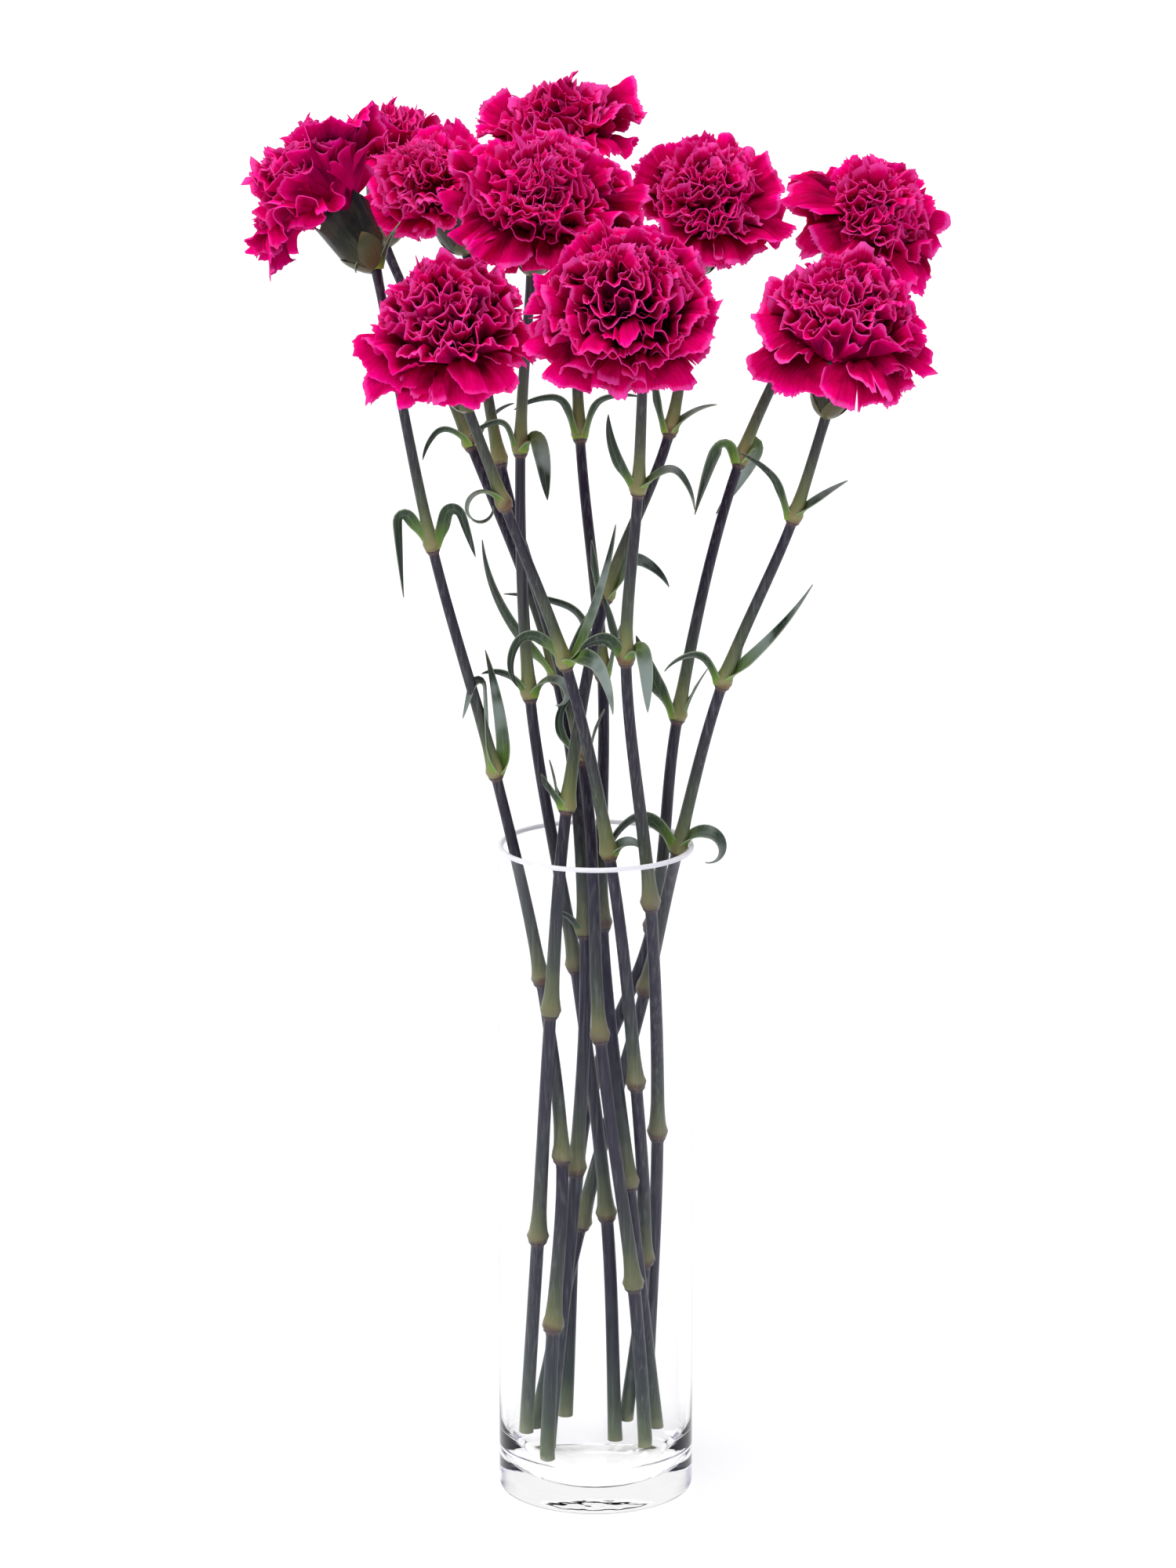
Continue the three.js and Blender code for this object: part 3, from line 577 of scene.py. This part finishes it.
def cup_body(girth):
    """The ribbed cup, with teeth round its mouth."""
    angle = np.linspace(0, 2 * math.pi, CALYX_SIDES, endpoint=False)
    notch = np.abs(((angle * CUP_TEETH / (2 * math.pi)) % 1) * 2 - 1)
    rib = RIB_HEIGHT * np.cos(angle * RIBS)
    rings = []
    for height in CUP_HEIGHTS:
        grown = np.clip((height - TEETH_FROM) / (CUP_TOP - TEETH_FROM), 0, 1)
        lift = grown * (TOOTH_HEIGHT * (1 - notch) ** 1.3 - NOTCH_DEPTH)
        rings.append(ring_at(cup_radius(height, girth) + rib, angle, height + lift))
    rings.append(rings[-1] * [CUP_LIP, CUP_LIP, 1])
    for height in THROAT_HEIGHTS:
        rings.append(ring_at(cup_radius(height, girth) - THROAT_WALL, angle, np.full_like(angle, height)))
    heights = np.concatenate([CUP_HEIGHTS, [CUP_TOP, *THROAT_HEIGHTS]])
    cup = tube(np.array(rings), height=heights, scale=np.zeros(len(rings)))
    cup.facts["turn"] = np.concatenate([np.tile(angle, len(rings)), [0, 0]])
    return cup


def scale_body(index, length, girth, rng):
    """One of the pointed scales that clasp the foot of the cup."""
    start = math.radians(SCALE_STEP * index + SCALE_CHANCE * rng.random())
    size = length * rng.uniform(*SCALE_SIZES)
    s = np.linspace(0, 1, SCALE_ROWS)
    z = s * size
    half = SCALE_HALF * np.clip(1 - s ** 1.7, 0, 1) ** 0.9 + 0.02
    turn = start + half[:, None] * np.linspace(-1, 1, SCALE_COLUMNS)
    stand = 0.2 + 0.18 * (index % 2) + (0.12 * s ** 3 if index < INNER_SCALES else 0.2 + 1.4 * s ** 2)
    grid = ring_at((cup_radius(z, girth) + stand)[:, None], turn, np.repeat(z[:, None], SCALE_COLUMNS, 1))
    return sheet(grid, SCALE_THICKNESS, height=np.repeat(z, SCALE_COLUMNS),
                 scale=np.repeat(0.2 + 0.8 * s, SCALE_COLUMNS), turn=turn)


def calyx_body(girth, rng):
    scales = [scale_body(index, length, girth, rng) for index, length in enumerate(SCALE_LENGTHS)]
    return joined([cup_body(girth)] + scales)


# ---------- petals ----------


def torn_edge(columns, reach, rng):
    """The margin's share of the length at each column: rounded, lobed and slit."""
    u = np.linspace(-1, 1, columns)
    edge = 1 - ROUNDING * u ** 2 - CORNER * np.abs(u) ** 7
    edge += sum(height * np.sin(waves * u + rng.uniform(*PHASES)) for height, waves in LOBES)
    for _ in range(rng.integers(0, MOST_SLITS + 1)):
        place = rng.integers(SLIT_CLEARANCE, columns - SLIT_CLEARANCE)
        edge[place] -= rng.uniform(*SLIT_DEPTH) / reach
        edge[place + 1] -= rng.uniform(*SLIT_SIDE_DEPTH) / reach
    return edge


def teeth(columns, rng):
    """Fine unequal teeth, in millimetres, one for every two columns."""
    rough = 0.55 + 0.45 * np.sin(np.linspace(0, rng.uniform(*ROUGH_TURN), columns) + rng.uniform(*PHASES))
    heights = rng.uniform(-TOOTH_SPREAD, TOOTH_SPREAD, columns) * (0.35 + rough)
    heights[::2] += TOOTH_STEP * rough[::2]
    heights += np.where(rng.random(columns) < LONG_TEETH, rng.uniform(*LONG_TOOTH, columns) * rough, 0)
    return heights


def crumple(x, y, lengths, rng):
    """Gentle unevenness: a sum of waves in all directions."""
    total = np.zeros(np.broadcast(x, y).shape)
    for length in lengths:
        turn, phase = rng.uniform(0, math.pi), rng.uniform(0, 2 * math.pi)
        total += np.sin(2 * math.pi / length * (x * math.cos(turn) + y * math.sin(turn)) + phase)
    return total


def middle_line(layer, size, reach, rise, fall, rng):
    """A petal's middle line from its root: distance out, height and angle, and the
    shares of the length that they are given at."""
    steps = np.linspace(0, 1.15, 47)
    flare = layer["flare"] * rng.uniform(*CHANCE["flare"])
    bend = np.radians(rise + (fall - rise) * steps ** layer["curl"] - flare * steps ** 7)
    step = steps[1] * reach
    out = layer["root_r"] * size + np.concatenate([[0], np.cumsum(np.cos(bend[:-1]))]) * step
    up = layer["root_z"] + np.concatenate([[0], np.cumsum(np.sin(bend[:-1]))]) * step
    return steps, (out, up, bend)


def folds(layer, size, reach, fan, calm, u, share, x, y, rng):
    """Where the ruffles, crumples and pleats move a flat petal's points: x and lift.
    A finer wave and a swing to the sides go with each ruffle, as shares of its height."""
    grow = np.clip(share, 0, 1.1) ** 1.8
    phases = rng.uniform(0, 2 * math.pi, 4)
    height = layer["ruffle"] * size * calm * rng.uniform(*CHANCE["ruffle"])
    waves = layer["folds"] * math.pi * rng.uniform(*CHANCE["folds"])
    wave = waves * (u + 0.05 * np.sin(5 * u + phases[3])) + phases[0] + 0.6 * share
    lift = height * grow * (np.sin(wave) + 0.3 * np.sin(2.3 * wave + phases[1]))
    x = x - height * grow * (0.4 * np.sin(2 * wave) - 0.3 * np.cos(wave + phases[2]))
    lift = lift + CRUMPLE_HEIGHT * size * calm * share ** 2 * crumple(x, y, CRUMPLE_WAVES, rng)
    lift = lift + layer["pleat"] * share ** 4 * crumple(u * fan * reach, 0 * y, PLEAT_WAVES, rng)
    return x, lift + math.tan(math.radians(rng.uniform(*CHANCE["lean"]))) * x * share


def turned(a, b, angle):
    return a * math.cos(angle) - b * math.sin(angle), a * math.sin(angle) + b * math.cos(angle)


def petal_body(layer, size, azimuth, sag, rng, stretch, fall=None, calm=1):
    """One ruffled, toothed petal of a bloom whose radius is size times the standard.
    Only a guard petal comes with its own fall."""
    columns = layer["columns"]
    u = np.linspace(-1, 1, columns)[None, :]
    v = np.linspace(0, 1, layer["rows"])[:, None] ** ROW_SPACING
    reach = layer["reach"] * size * stretch * (rng.uniform(*CHANCE["reach"]) if fall is None else 1)
    edge = torn_edge(columns, reach, rng)[None, :]
    share = v * edge + layer["teeth"] * teeth(columns, rng)[None, :] / reach * v ** 10
    past_claw = share - CLAW_SHARE
    opening = 0.5 * (past_claw + np.sqrt(past_claw ** 2 + CLAW_ROUNDING)) - CLAW_OFFSET
    fan = math.radians(layer["fan"] * rng.uniform(*CHANCE["fan"]))
    x = CLAW_HALF * size * u + reach * opening * np.sin(fan * u)
    y = reach * (share - opening * (1 - np.cos(fan * u)))

    if fall is None:
        fall = layer["fall"] - sag + rng.uniform(*CHANCE["fall"])
    else:
        fall = fall + rng.uniform(*CHANCE["guard_fall"])
    rise = layer["rise"] - RISE_SAG * sag + rng.uniform(*CHANCE["rise"])
    steps, lines = middle_line(layer, size, reach, rise, fall, rng)
    out, up, angle = (np.interp(y / reach, steps, line) for line in lines)
    x, lift = folds(layer, size, reach, fan, calm, u, share, x, y, rng)

    curl = np.maximum(out, LEAST_CURL * size) / layer["wrap"]
    turn = np.clip(x / curl, -MOST_TURN, MOST_TURN)
    lean, rest = -np.sin(angle) * lift, np.cos(angle) * lift
    radial = out - curl * (1 - np.cos(turn)) + lean * np.cos(turn)
    aside = curl * np.sin(turn) + lean * np.sin(turn)
    root = layer["root_r"] * size
    radial, aside = turned(radial - root, aside, math.radians(layer["spin"]) * rng.uniform(-1, 1))
    grid = np.stack([*turned(root + radial, aside, azimuth), up + rest], -1)
    side_rim = (1 - np.abs(u)) * fan * opening * reach + SIDE_RIM
    rim = np.maximum(np.minimum(reach * (edge - share), side_rim), 0)
    tone = rng.random()
    return sheet(grid, PETAL_THICKNESS, rim=rim, deep=rim * layer["shade"], along=y,
                 across=u * VEIN_SPAN + 2 * VEIN_SPAN * tone + 0 * v, tone=np.full(grid.shape[:2], tone))


def bloom_body(flower):
    rng = np.random.default_rng(int(flower["name"]) * BLOOM_SEED_STEP)
    size = flower["radius"] / BLOOM_RADIUS
    x, y, z = unit(flower["facing"])
    tilt, downhill = math.degrees(math.acos(z)), math.atan2(y, x)
    petals = []
    for heading, stretch, fall, calm in flower["guards"]:
        azimuth = math.radians(heading)
        sag = SAG * tilt * math.cos(azimuth - downhill)
        petals.append(petal_body(LAYERS[0], size, azimuth, sag, rng, stretch, fall - min(sag, 0), calm))
    for index, layer in enumerate(LAYERS[1:], 1):
        for k in range(layer["count"]):
            place = k + LAYER_TURN * index + rng.uniform(-PLACE_CHANCE, PLACE_CHANCE)
            azimuth = 2 * math.pi * place / layer["count"]
            sag = -flower["stand"] * tilt * math.cos(azimuth - downhill)
            petals.append(petal_body(layer, size, azimuth, sag, rng, flower["dome"]))
    return joined(petals)


# ---------- materials ----------


class Nodes:
    """A short way to build a node tree: nodes are made and linked by name."""

    def __init__(self, tree):
        self.tree = tree

    def node(self, kind, **values):
        made = self.tree.nodes.new("ShaderNode" + kind)
        for key, value in values.items():
            if hasattr(made, key):
                setattr(made, key, value)
            else:
                made.inputs[key].default_value = value
        return made

    def link(self, source, target):
        self.tree.links.new(source, target)

    def put(self, value, socket):
        """Sets a socket to a number or a colour, or links another node's output to it."""
        if isinstance(value, tuple):
            socket.default_value = (*value, 1)
        elif isinstance(value, (int, float)):
            socket.default_value = value
        else:
            self.link(value, socket)

    def math(self, operation, a, b=0.0, clamp=False):
        made = self.node("Math", operation=operation, use_clamp=clamp)
        self.put(a, made.inputs[0])
        self.put(b, made.inputs[1])
        return made.outputs[0]

    def times(self, a, b):
        return self.math("MULTIPLY", a, b)

    def one_minus(self, value):
        return self.math("SUBTRACT", 1.0, value, clamp=True)

    def ramp(self, value, *stops):
        made = self.node("ValToRGB")
        ramp = made.color_ramp
        while len(ramp.elements) < len(stops):
            ramp.elements.new(0.5)
        for element, (place, colour) in zip(ramp.elements, stops):
            element.position = place
            element.color = (*colour, 1)
        self.link(value, made.inputs[0])
        return made.outputs[0]

    def between(self, value, low, high):
        """Rises smoothly from 0 at low to 1 at high."""
        made = self.node("MapRange", interpolation_type="SMOOTHSTEP")
        self.link(value, made.inputs["Value"])
        made.inputs["From Min"].default_value = low
        made.inputs["From Max"].default_value = high
        return made.outputs[0]

    def mix(self, share, a, b, kind="MIX"):
        """Mixes colours, which are the sockets 6 and 7 and the output 2 of a Mix node."""
        made = self.node("Mix", data_type="RGBA", blend_type=kind)
        for value, socket in ((share, made.inputs[0]), (a, made.inputs[6]), (b, made.inputs[7])):
            self.put(value, socket)
        return made.outputs[2]

    def tint(self, colour, mask, share, shade):
        """Mixes a share of a shade into a colour where the mask is 1."""
        return self.mix(self.times(mask, share), colour, shade)

    def vector(self, *parts):
        made = self.node("CombineXYZ")
        for part, socket in zip(parts, made.inputs):
            self.put(part, socket)
        return made.outputs[0]


class Shader(Nodes):
    """The nodes of a new material, which end in its Principled shader."""

    def __init__(self, name):
        self.material = bpy.data.materials.new(name)
        self.material.use_nodes = True
        super().__init__(self.material.node_tree)
        self.surface = self.tree.nodes["Principled BSDF"]

    def set(self, name, value):
        self.put(value, self.surface.inputs[name])

    def fact(self, name):
        """A value that the mesh has at its points."""
        return self.node("Attribute", attribute_name=name).outputs["Fac"]

    def point(self):
        return self.node("TexCoord").outputs["Object"]

    def height(self):
        split = self.node("SeparateXYZ")
        self.link(self.point(), split.inputs[0])
        return split.outputs[2]

    def noise(self, scale, detail=2.0, vector=None):
        made = self.node("TexNoise", Scale=scale, Detail=detail)
        self.link(self.point() if vector is None else vector, made.inputs["Vector"])
        return made.outputs["Fac"]

    def bump(self, height, strength, distance):
        made = self.node("Bump", Strength=strength, Distance=distance)
        self.link(height, made.inputs["Height"])
        self.set("Normal", made.outputs[0])


def srgb(*parts):
    """Linear colour of an 8-bit screen colour."""
    shares = (part / 255 for part in parts)
    return tuple(c / 12.92 if c <= 0.04045 else ((c + 0.055) / 1.055) ** 2.4 for c in shares)


FULL_DEPTH = 30.0  # distance from the margin where the painted shade on a petal is deepest
PATCH_DEPTH = 8.0  # how far patches shift that colour
VEINS_ACROSS, VEINS_ALONG = 1.6, 0.16  # fineness of the veins
SHADE_LENGTH = 0.01  # per millimetre of stem: its colours run over 100 mm above a joint
SHADE_HEIGHT = 27.0  # a calyx's colours run over this height
GLASS_SHADE_HEIGHTS = (0.32, 0.27)  # heights in metres between which painted shade darkens the stems, inside the vase
STREAKS = (1000, 1000, 14)  # fineness of the streaks across and along a stem


def petal_material():
    """Crimson, darker away from the margin by painted shade that is partly the petal's own darker
    base colour, with fine veins and a ragged pale margin that is partly painted highlight.
    """
    m = Shader("petal_crimson")
    tone = m.fact("tone")
    vein_x = m.times(m.fact("across"), VEINS_ACROSS)
    vein_y = m.times(m.fact("along"), VEINS_ALONG)
    vein = m.noise(1.0, 5.0, m.vector(vein_x, vein_y, 0.0))
    patch = m.noise(120, 3.0)
    speck = m.noise(1500, 2.0)
    shift = m.times(m.math("SUBTRACT", patch, 0.5), PATCH_DEPTH)
    # Painted shade: the colour darkens with distance from the margin, as in the bloom's crevices, and partly
    # the petal's own darker base.
    depth = m.math("DIVIDE", m.math("ADD", m.fact("deep"), shift), FULL_DEPTH)
    body = m.ramp(depth, (0.0, srgb(254, 2, 144)), (0.07, srgb(234, 0, 110)), (0.2, srgb(192, 0, 74)),
                  (0.4, srgb(122, 0, 38)), (0.62, srgb(58, 0, 19)), (1.0, srgb(30, 0, 12)))
    body = m.tint(body, m.between(vein, 0.52, 0.7), 0.3, srgb(250, 4, 146))
    body = m.tint(body, m.between(vein, 0.48, 0.3), 0.35, srgb(130, 0, 44))
    body = m.tint(body, m.between(speck, 0.5, 0.8), 0.12, srgb(252, 10, 150))
    # The pale pink margin is partly the petal's own colour and partly a painted highlight along its edge.
    jag = m.math("ADD", m.times(vein, 2.0), m.times(patch, 1.4))
    jag = m.times(jag, m.math("ADD", 0.3, m.times(tone, 0.7)))
    inside = m.between(m.math("SUBTRACT", m.fact("rim"), jag), -1.0, 0.8)
    margin = m.one_minus(inside)
    strength = m.math("ADD", 0.3, m.times(tone, 0.55))
    colour = m.tint(body, margin, strength, srgb(255, 90, 188))
    back = m.mix(0.2, colour, srgb(206, 0, 128))
    m.set("Base Color", m.mix(m.fact("back"), colour, back))
    m.set("Roughness", 0.7)
    m.set("Specular IOR Level", 0.01)
    m.bump(vein, 0.3, 0.0005)
    return m.material


def stem_colour(m, patch):
    """Buff and green over a joint, slate further up, and paler green at the cut foot."""
    above = m.times(m.fact("above"), SHADE_LENGTH)
    above = m.math("ADD", above, m.times(m.math("SUBTRACT", patch, 0.5), 0.16))
    shade = m.ramp(above, (0.0, srgb(116, 86, 60)), (0.03, srgb(146, 142, 90)), (0.1, srgb(112, 120, 74)),
                   (0.22, srgb(76, 84, 64)), (0.4, srgb(54, 56, 57)), (0.7, srgb(42, 36, 52)))
    foot = m.ramp(above, (0.0, srgb(160, 166, 120)), (0.06, srgb(118, 132, 92)), (0.2, srgb(76, 90, 72)),
                  (0.45, srgb(54, 60, 62)), (0.8, srgb(46, 43, 56)))
    near = m.one_minus(m.between(m.fact("below"), 0.6, 3.2))
    return m.tint(m.mix(m.fact("first"), shade, foot), near, 0.55, srgb(126, 92, 78))


def leaf_colour(m, patch):
    """Lime at the root and dark green further on, with pale patches above and pale edges painted as
    highlight.
    """
    along = m.fact("along")
    leaf = m.ramp(along, (0.0, srgb(134, 166, 46)), (0.12, srgb(94, 128, 42)), (0.3, srgb(48, 70, 42)),
                  (0.6, srgb(34, 50, 38)), (0.92, srgb(32, 42, 36)), (1.0, srgb(86, 66, 46)))
    # Painted highlight: pale patches on the leaf's upper face, which faces the light.
    pale = m.mix(m.between(along, 0.1, 0.5), srgb(108, 136, 72), srgb(172, 188, 180))
    upper = m.one_minus(m.fact("back"))
    leaf = m.tint(leaf, upper, m.times(m.between(patch, 0.36, 0.62), 0.6), pale)
    # Painted highlight along the leaf's edges.
    edge = m.math("ABSOLUTE", m.fact("across"))
    leaf = m.tint(leaf, m.between(edge, 0.78, 1.0), 0.5, srgb(168, 184, 150))
    return m.tint(leaf, m.between(edge, 0.16, 0.0), 0.25, srgb(130, 150, 110))


def stem_material():
    """Stem and leaf in one, as both belong to one body. The leaf fact tells them apart."""
    m = Shader("stem_green")
    mapping = m.node("Mapping", Scale=STREAKS)
    m.link(m.point(), mapping.inputs["Vector"])
    streak = m.noise(1.0, 3.0, mapping.outputs[0])
    patch = m.noise(60, 2.0)
    colour = m.mix(m.fact("leaf"), stem_colour(m, patch), leaf_colour(m, patch))
    # Painted shade: the stems inside the vase are darkened, in place of how they look through the glass.
    painted_glass_shade = m.mix(1.0, colour, srgb(205, 205, 208), "MULTIPLY")
    colour = m.mix(m.between(m.height(), *GLASS_SHADE_HEIGHTS), colour, painted_glass_shade)
    # Pale streaks: a pattern along the stems and leaves that also serves as painted highlight.
    colour = m.tint(colour, m.between(streak, 0.45, 0.75), 0.2, srgb(148, 152, 150))
    m.set("Base Color", colour)
    m.set("Roughness", 0.34)
    m.set("Specular IOR Level", 0.28)
    m.bump(streak, 0.25, 0.0004)
    return m.material


def calyx_material():
    """Dark green, browner at the foot, with paler scales, pale streaks partly painted as highlight, and brown
    patches.
    """
    m = Shader("calyx_green")
    height = m.math("DIVIDE", m.fact("height"), SHADE_HEIGHT)
    streak_x = m.times(m.fact("turn"), 14.0)
    streak = m.noise(1.0, 3.0, m.vector(streak_x, m.times(height, 3.0), 0.0))
    patch = m.noise(90, 2.0)
    cup = m.ramp(height, (0.0, srgb(88, 82, 50)), (0.3, srgb(52, 53, 34)), (0.6, srgb(32, 34, 27)),
                 (1.0, srgb(24, 24, 25)))
    scale = m.ramp(m.fact("scale"), (0.2, srgb(100, 92, 62)), (0.85, srgb(74, 76, 52)),
                   (1.0, srgb(112, 92, 66)))
    colour = m.mix(m.between(m.fact("scale"), 0.05, 0.15), cup, scale)
    # Pale lengthwise streaks, partly a painted highlight.
    colour = m.tint(colour, m.between(streak, 0.5, 0.75), 0.2, srgb(120, 122, 88))
    colour = m.tint(colour, m.between(patch, 0.5, 0.7), 0.3, srgb(86, 66, 50))
    m.set("Base Color", colour)
    m.set("Roughness", 0.24)
    m.set("Specular IOR Level", 0.2)
    m.bump(streak, 0.3, 0.0004)
    return m.material


def glass_material():
    """Clear glass, uneven at its base. It is transparent to shadow rays."""
    m = Shader("clear_glass")
    m.set("Base Color", (1.0, 1.0, 1.0))
    m.set("Transmission Weight", 1.0)
    m.set("IOR", 1.33)
    m.set("Specular Tint", (0.34, 0.35, 0.54))
    m.set("Roughness", 0.0)
    base = m.between(m.height(), 0.03, 0.004)
    swirl = m.times(m.noise(60, 2.0), m.times(base, 2.5))
    m.bump(m.math("ADD", m.noise(14, 1.0), swirl), 0.05, 0.002)
    clear = m.node("BsdfTransparent")
    both = m.node("MixShader")
    m.link(m.node("LightPath").outputs["Is Shadow Ray"], both.inputs[0])
    m.link(m.surface.outputs[0], both.inputs[1])
    m.link(clear.outputs[0], both.inputs[2])
    m.link(both.outputs[0], m.tree.nodes["Material Output"].inputs["Surface"])
    return m.material


def lip_material():
    m = Shader("rim_painted_highlight")
    # Painted highlight: the lip is near white and mostly opaque, in place of the bright reflection along the
    # rim.
    grain = m.ramp(m.noise(180, 2.0), (0.35, (0.93, 0.93, 0.97)), (0.65, (1.0, 1.0, 1.0)))
    m.set("Base Color", grain)
    m.set("Transmission Weight", 0.15)
    m.set("IOR", 1.4)
    m.set("Roughness", 0.12)
    return m.material


def floor_material():
    m = Shader("pale_floor")
    grain = m.ramp(m.noise(3, 2.0), (0.3, (0.86, 0.86, 0.87)), (0.7, (0.88, 0.88, 0.88)))
    m.set("Base Color", grain)
    m.set("Roughness", 0.9)
    m.set("Specular IOR Level", 0.1)
    return m.material


# ---------- object ----------

vase = new_piece("glass_vase", vase_body(), glass_material(), "vase", sharp=60)
vase.data.materials.append(lip_material())
lip_height = (VASE["height"] - LIP_DEPTH) * MM
# The faces above the lip's lower edge take the painted white highlight.
for face in vase.data.polygons:
    face.material_index = int(face.center.z > lip_height)
green, cup_green, crimson = stem_material(), calyx_material(), petal_material()
for flower in FLOWERS:
    number = flower["name"]
    new_piece("leafy_stem_" + number, leafy_stem(flower), green, "stem_" + number)
    cup = placed(calyx_body(flower["girth"], np.random.default_rng(int(number))), flower)
    new_piece("calyx_cup_" + number, cup, cup_green, "calyx_" + number)
    new_piece("petals_" + number, placed(bloom_body(flower), flower), crimson, "bloom_" + number)

# ---------- stage, light and camera ----------

# In millimetres and degrees.
CAMERA = {"x": -3.5, "distance": 3000, "height": 1092.8, "pitch": 14.32, "lens": 161.17}
SENSOR_WIDTH = 36
# The rest is in metres.
CLIP_END = 100
FLOOR_SIZE = 40.0
FLOOR_DROP = 0.0005  # keeps the floor clear of the vase's flat base
AIM = (0, 0, 0.35)
KEY_PLACE = (-0.7, -0.7, 2.8)
KEY_POWER = 2.7
KEY_SOFTNESS = 75  # in degrees
WORLD_LEVEL = 0.62
BACKDROP_LEVEL = 0.3  # added behind the object, which the thick base of the glass mirrors


def add_floor():
    mesh = bpy.data.meshes.new("floor")
    half = FLOOR_SIZE / 2
    corners = [(-half, -half, 0), (half, -half, 0), (half, half, 0), (-half, half, 0)]
    mesh.from_pydata(corners, [], [(0, 1, 2, 3)])
    mesh.materials.append(floor_material())
    floor = add_object("floor", mesh)
    floor.location.z = -FLOOR_DROP


def add_key_light():
    """A soft sun over the camera's left."""
    light = bpy.data.lights.new("key", "SUN")
    light.energy = KEY_POWER
    light.angle = math.radians(KEY_SOFTNESS)
    lamp = add_object("key", light)
    lamp.location = KEY_PLACE
    lamp.rotation_euler = (Vector(AIM) - Vector(KEY_PLACE)).to_track_quat("-Z", "Y").to_euler()


def add_world():
    """A white studio: bright above and behind the object, and a dim lilac grey at the
    sides and behind the camera."""
    world = bpy.data.worlds.new("studio")
    world.use_nodes = True
    m = Nodes(world.node_tree)
    direction = m.node("SeparateXYZ")
    m.link(m.node("TexCoord").outputs["Generated"], direction.inputs[0])
    x, y, z = direction.outputs
    level = m.between(y, -0.6, 0.3)
    sides = m.between(m.math("ABSOLUTE", x), 0.7, 0.9)
    level = m.math("SUBTRACT", level, m.times(level, sides))
    level = m.math("MAXIMUM", level, m.between(z, 0.3, 0.75))
    colour = m.ramp(level, (0.0, srgb(116, 116, 166)), (0.5, srgb(200, 200, 226)), (1.0, (1.0, 1.0, 1.0)))
    background = m.tree.nodes["Background"]
    m.link(colour, background.inputs["Color"])
    backdrop = m.times(m.between(y, 0.3, 0.8), BACKDROP_LEVEL)
    m.link(m.math("ADD", backdrop, WORLD_LEVEL), background.inputs["Strength"])
    bpy.context.scene.world = world


def add_camera():
    data = bpy.data.cameras.new("camera")
    data.sensor_width = SENSOR_WIDTH
    data.lens = CAMERA["lens"]
    data.clip_end = CLIP_END
    camera = add_object("camera", data)
    camera.location = (CAMERA["x"] * MM, -CAMERA["distance"] * MM, CAMERA["height"] * MM)
    camera.rotation_euler = (math.radians(90 - CAMERA["pitch"]), 0, 0)
    bpy.context.scene.camera = camera


add_floor()
add_world()
add_key_light()
add_camera()
bpy.context.scene.view_settings.view_transform = "Standard"
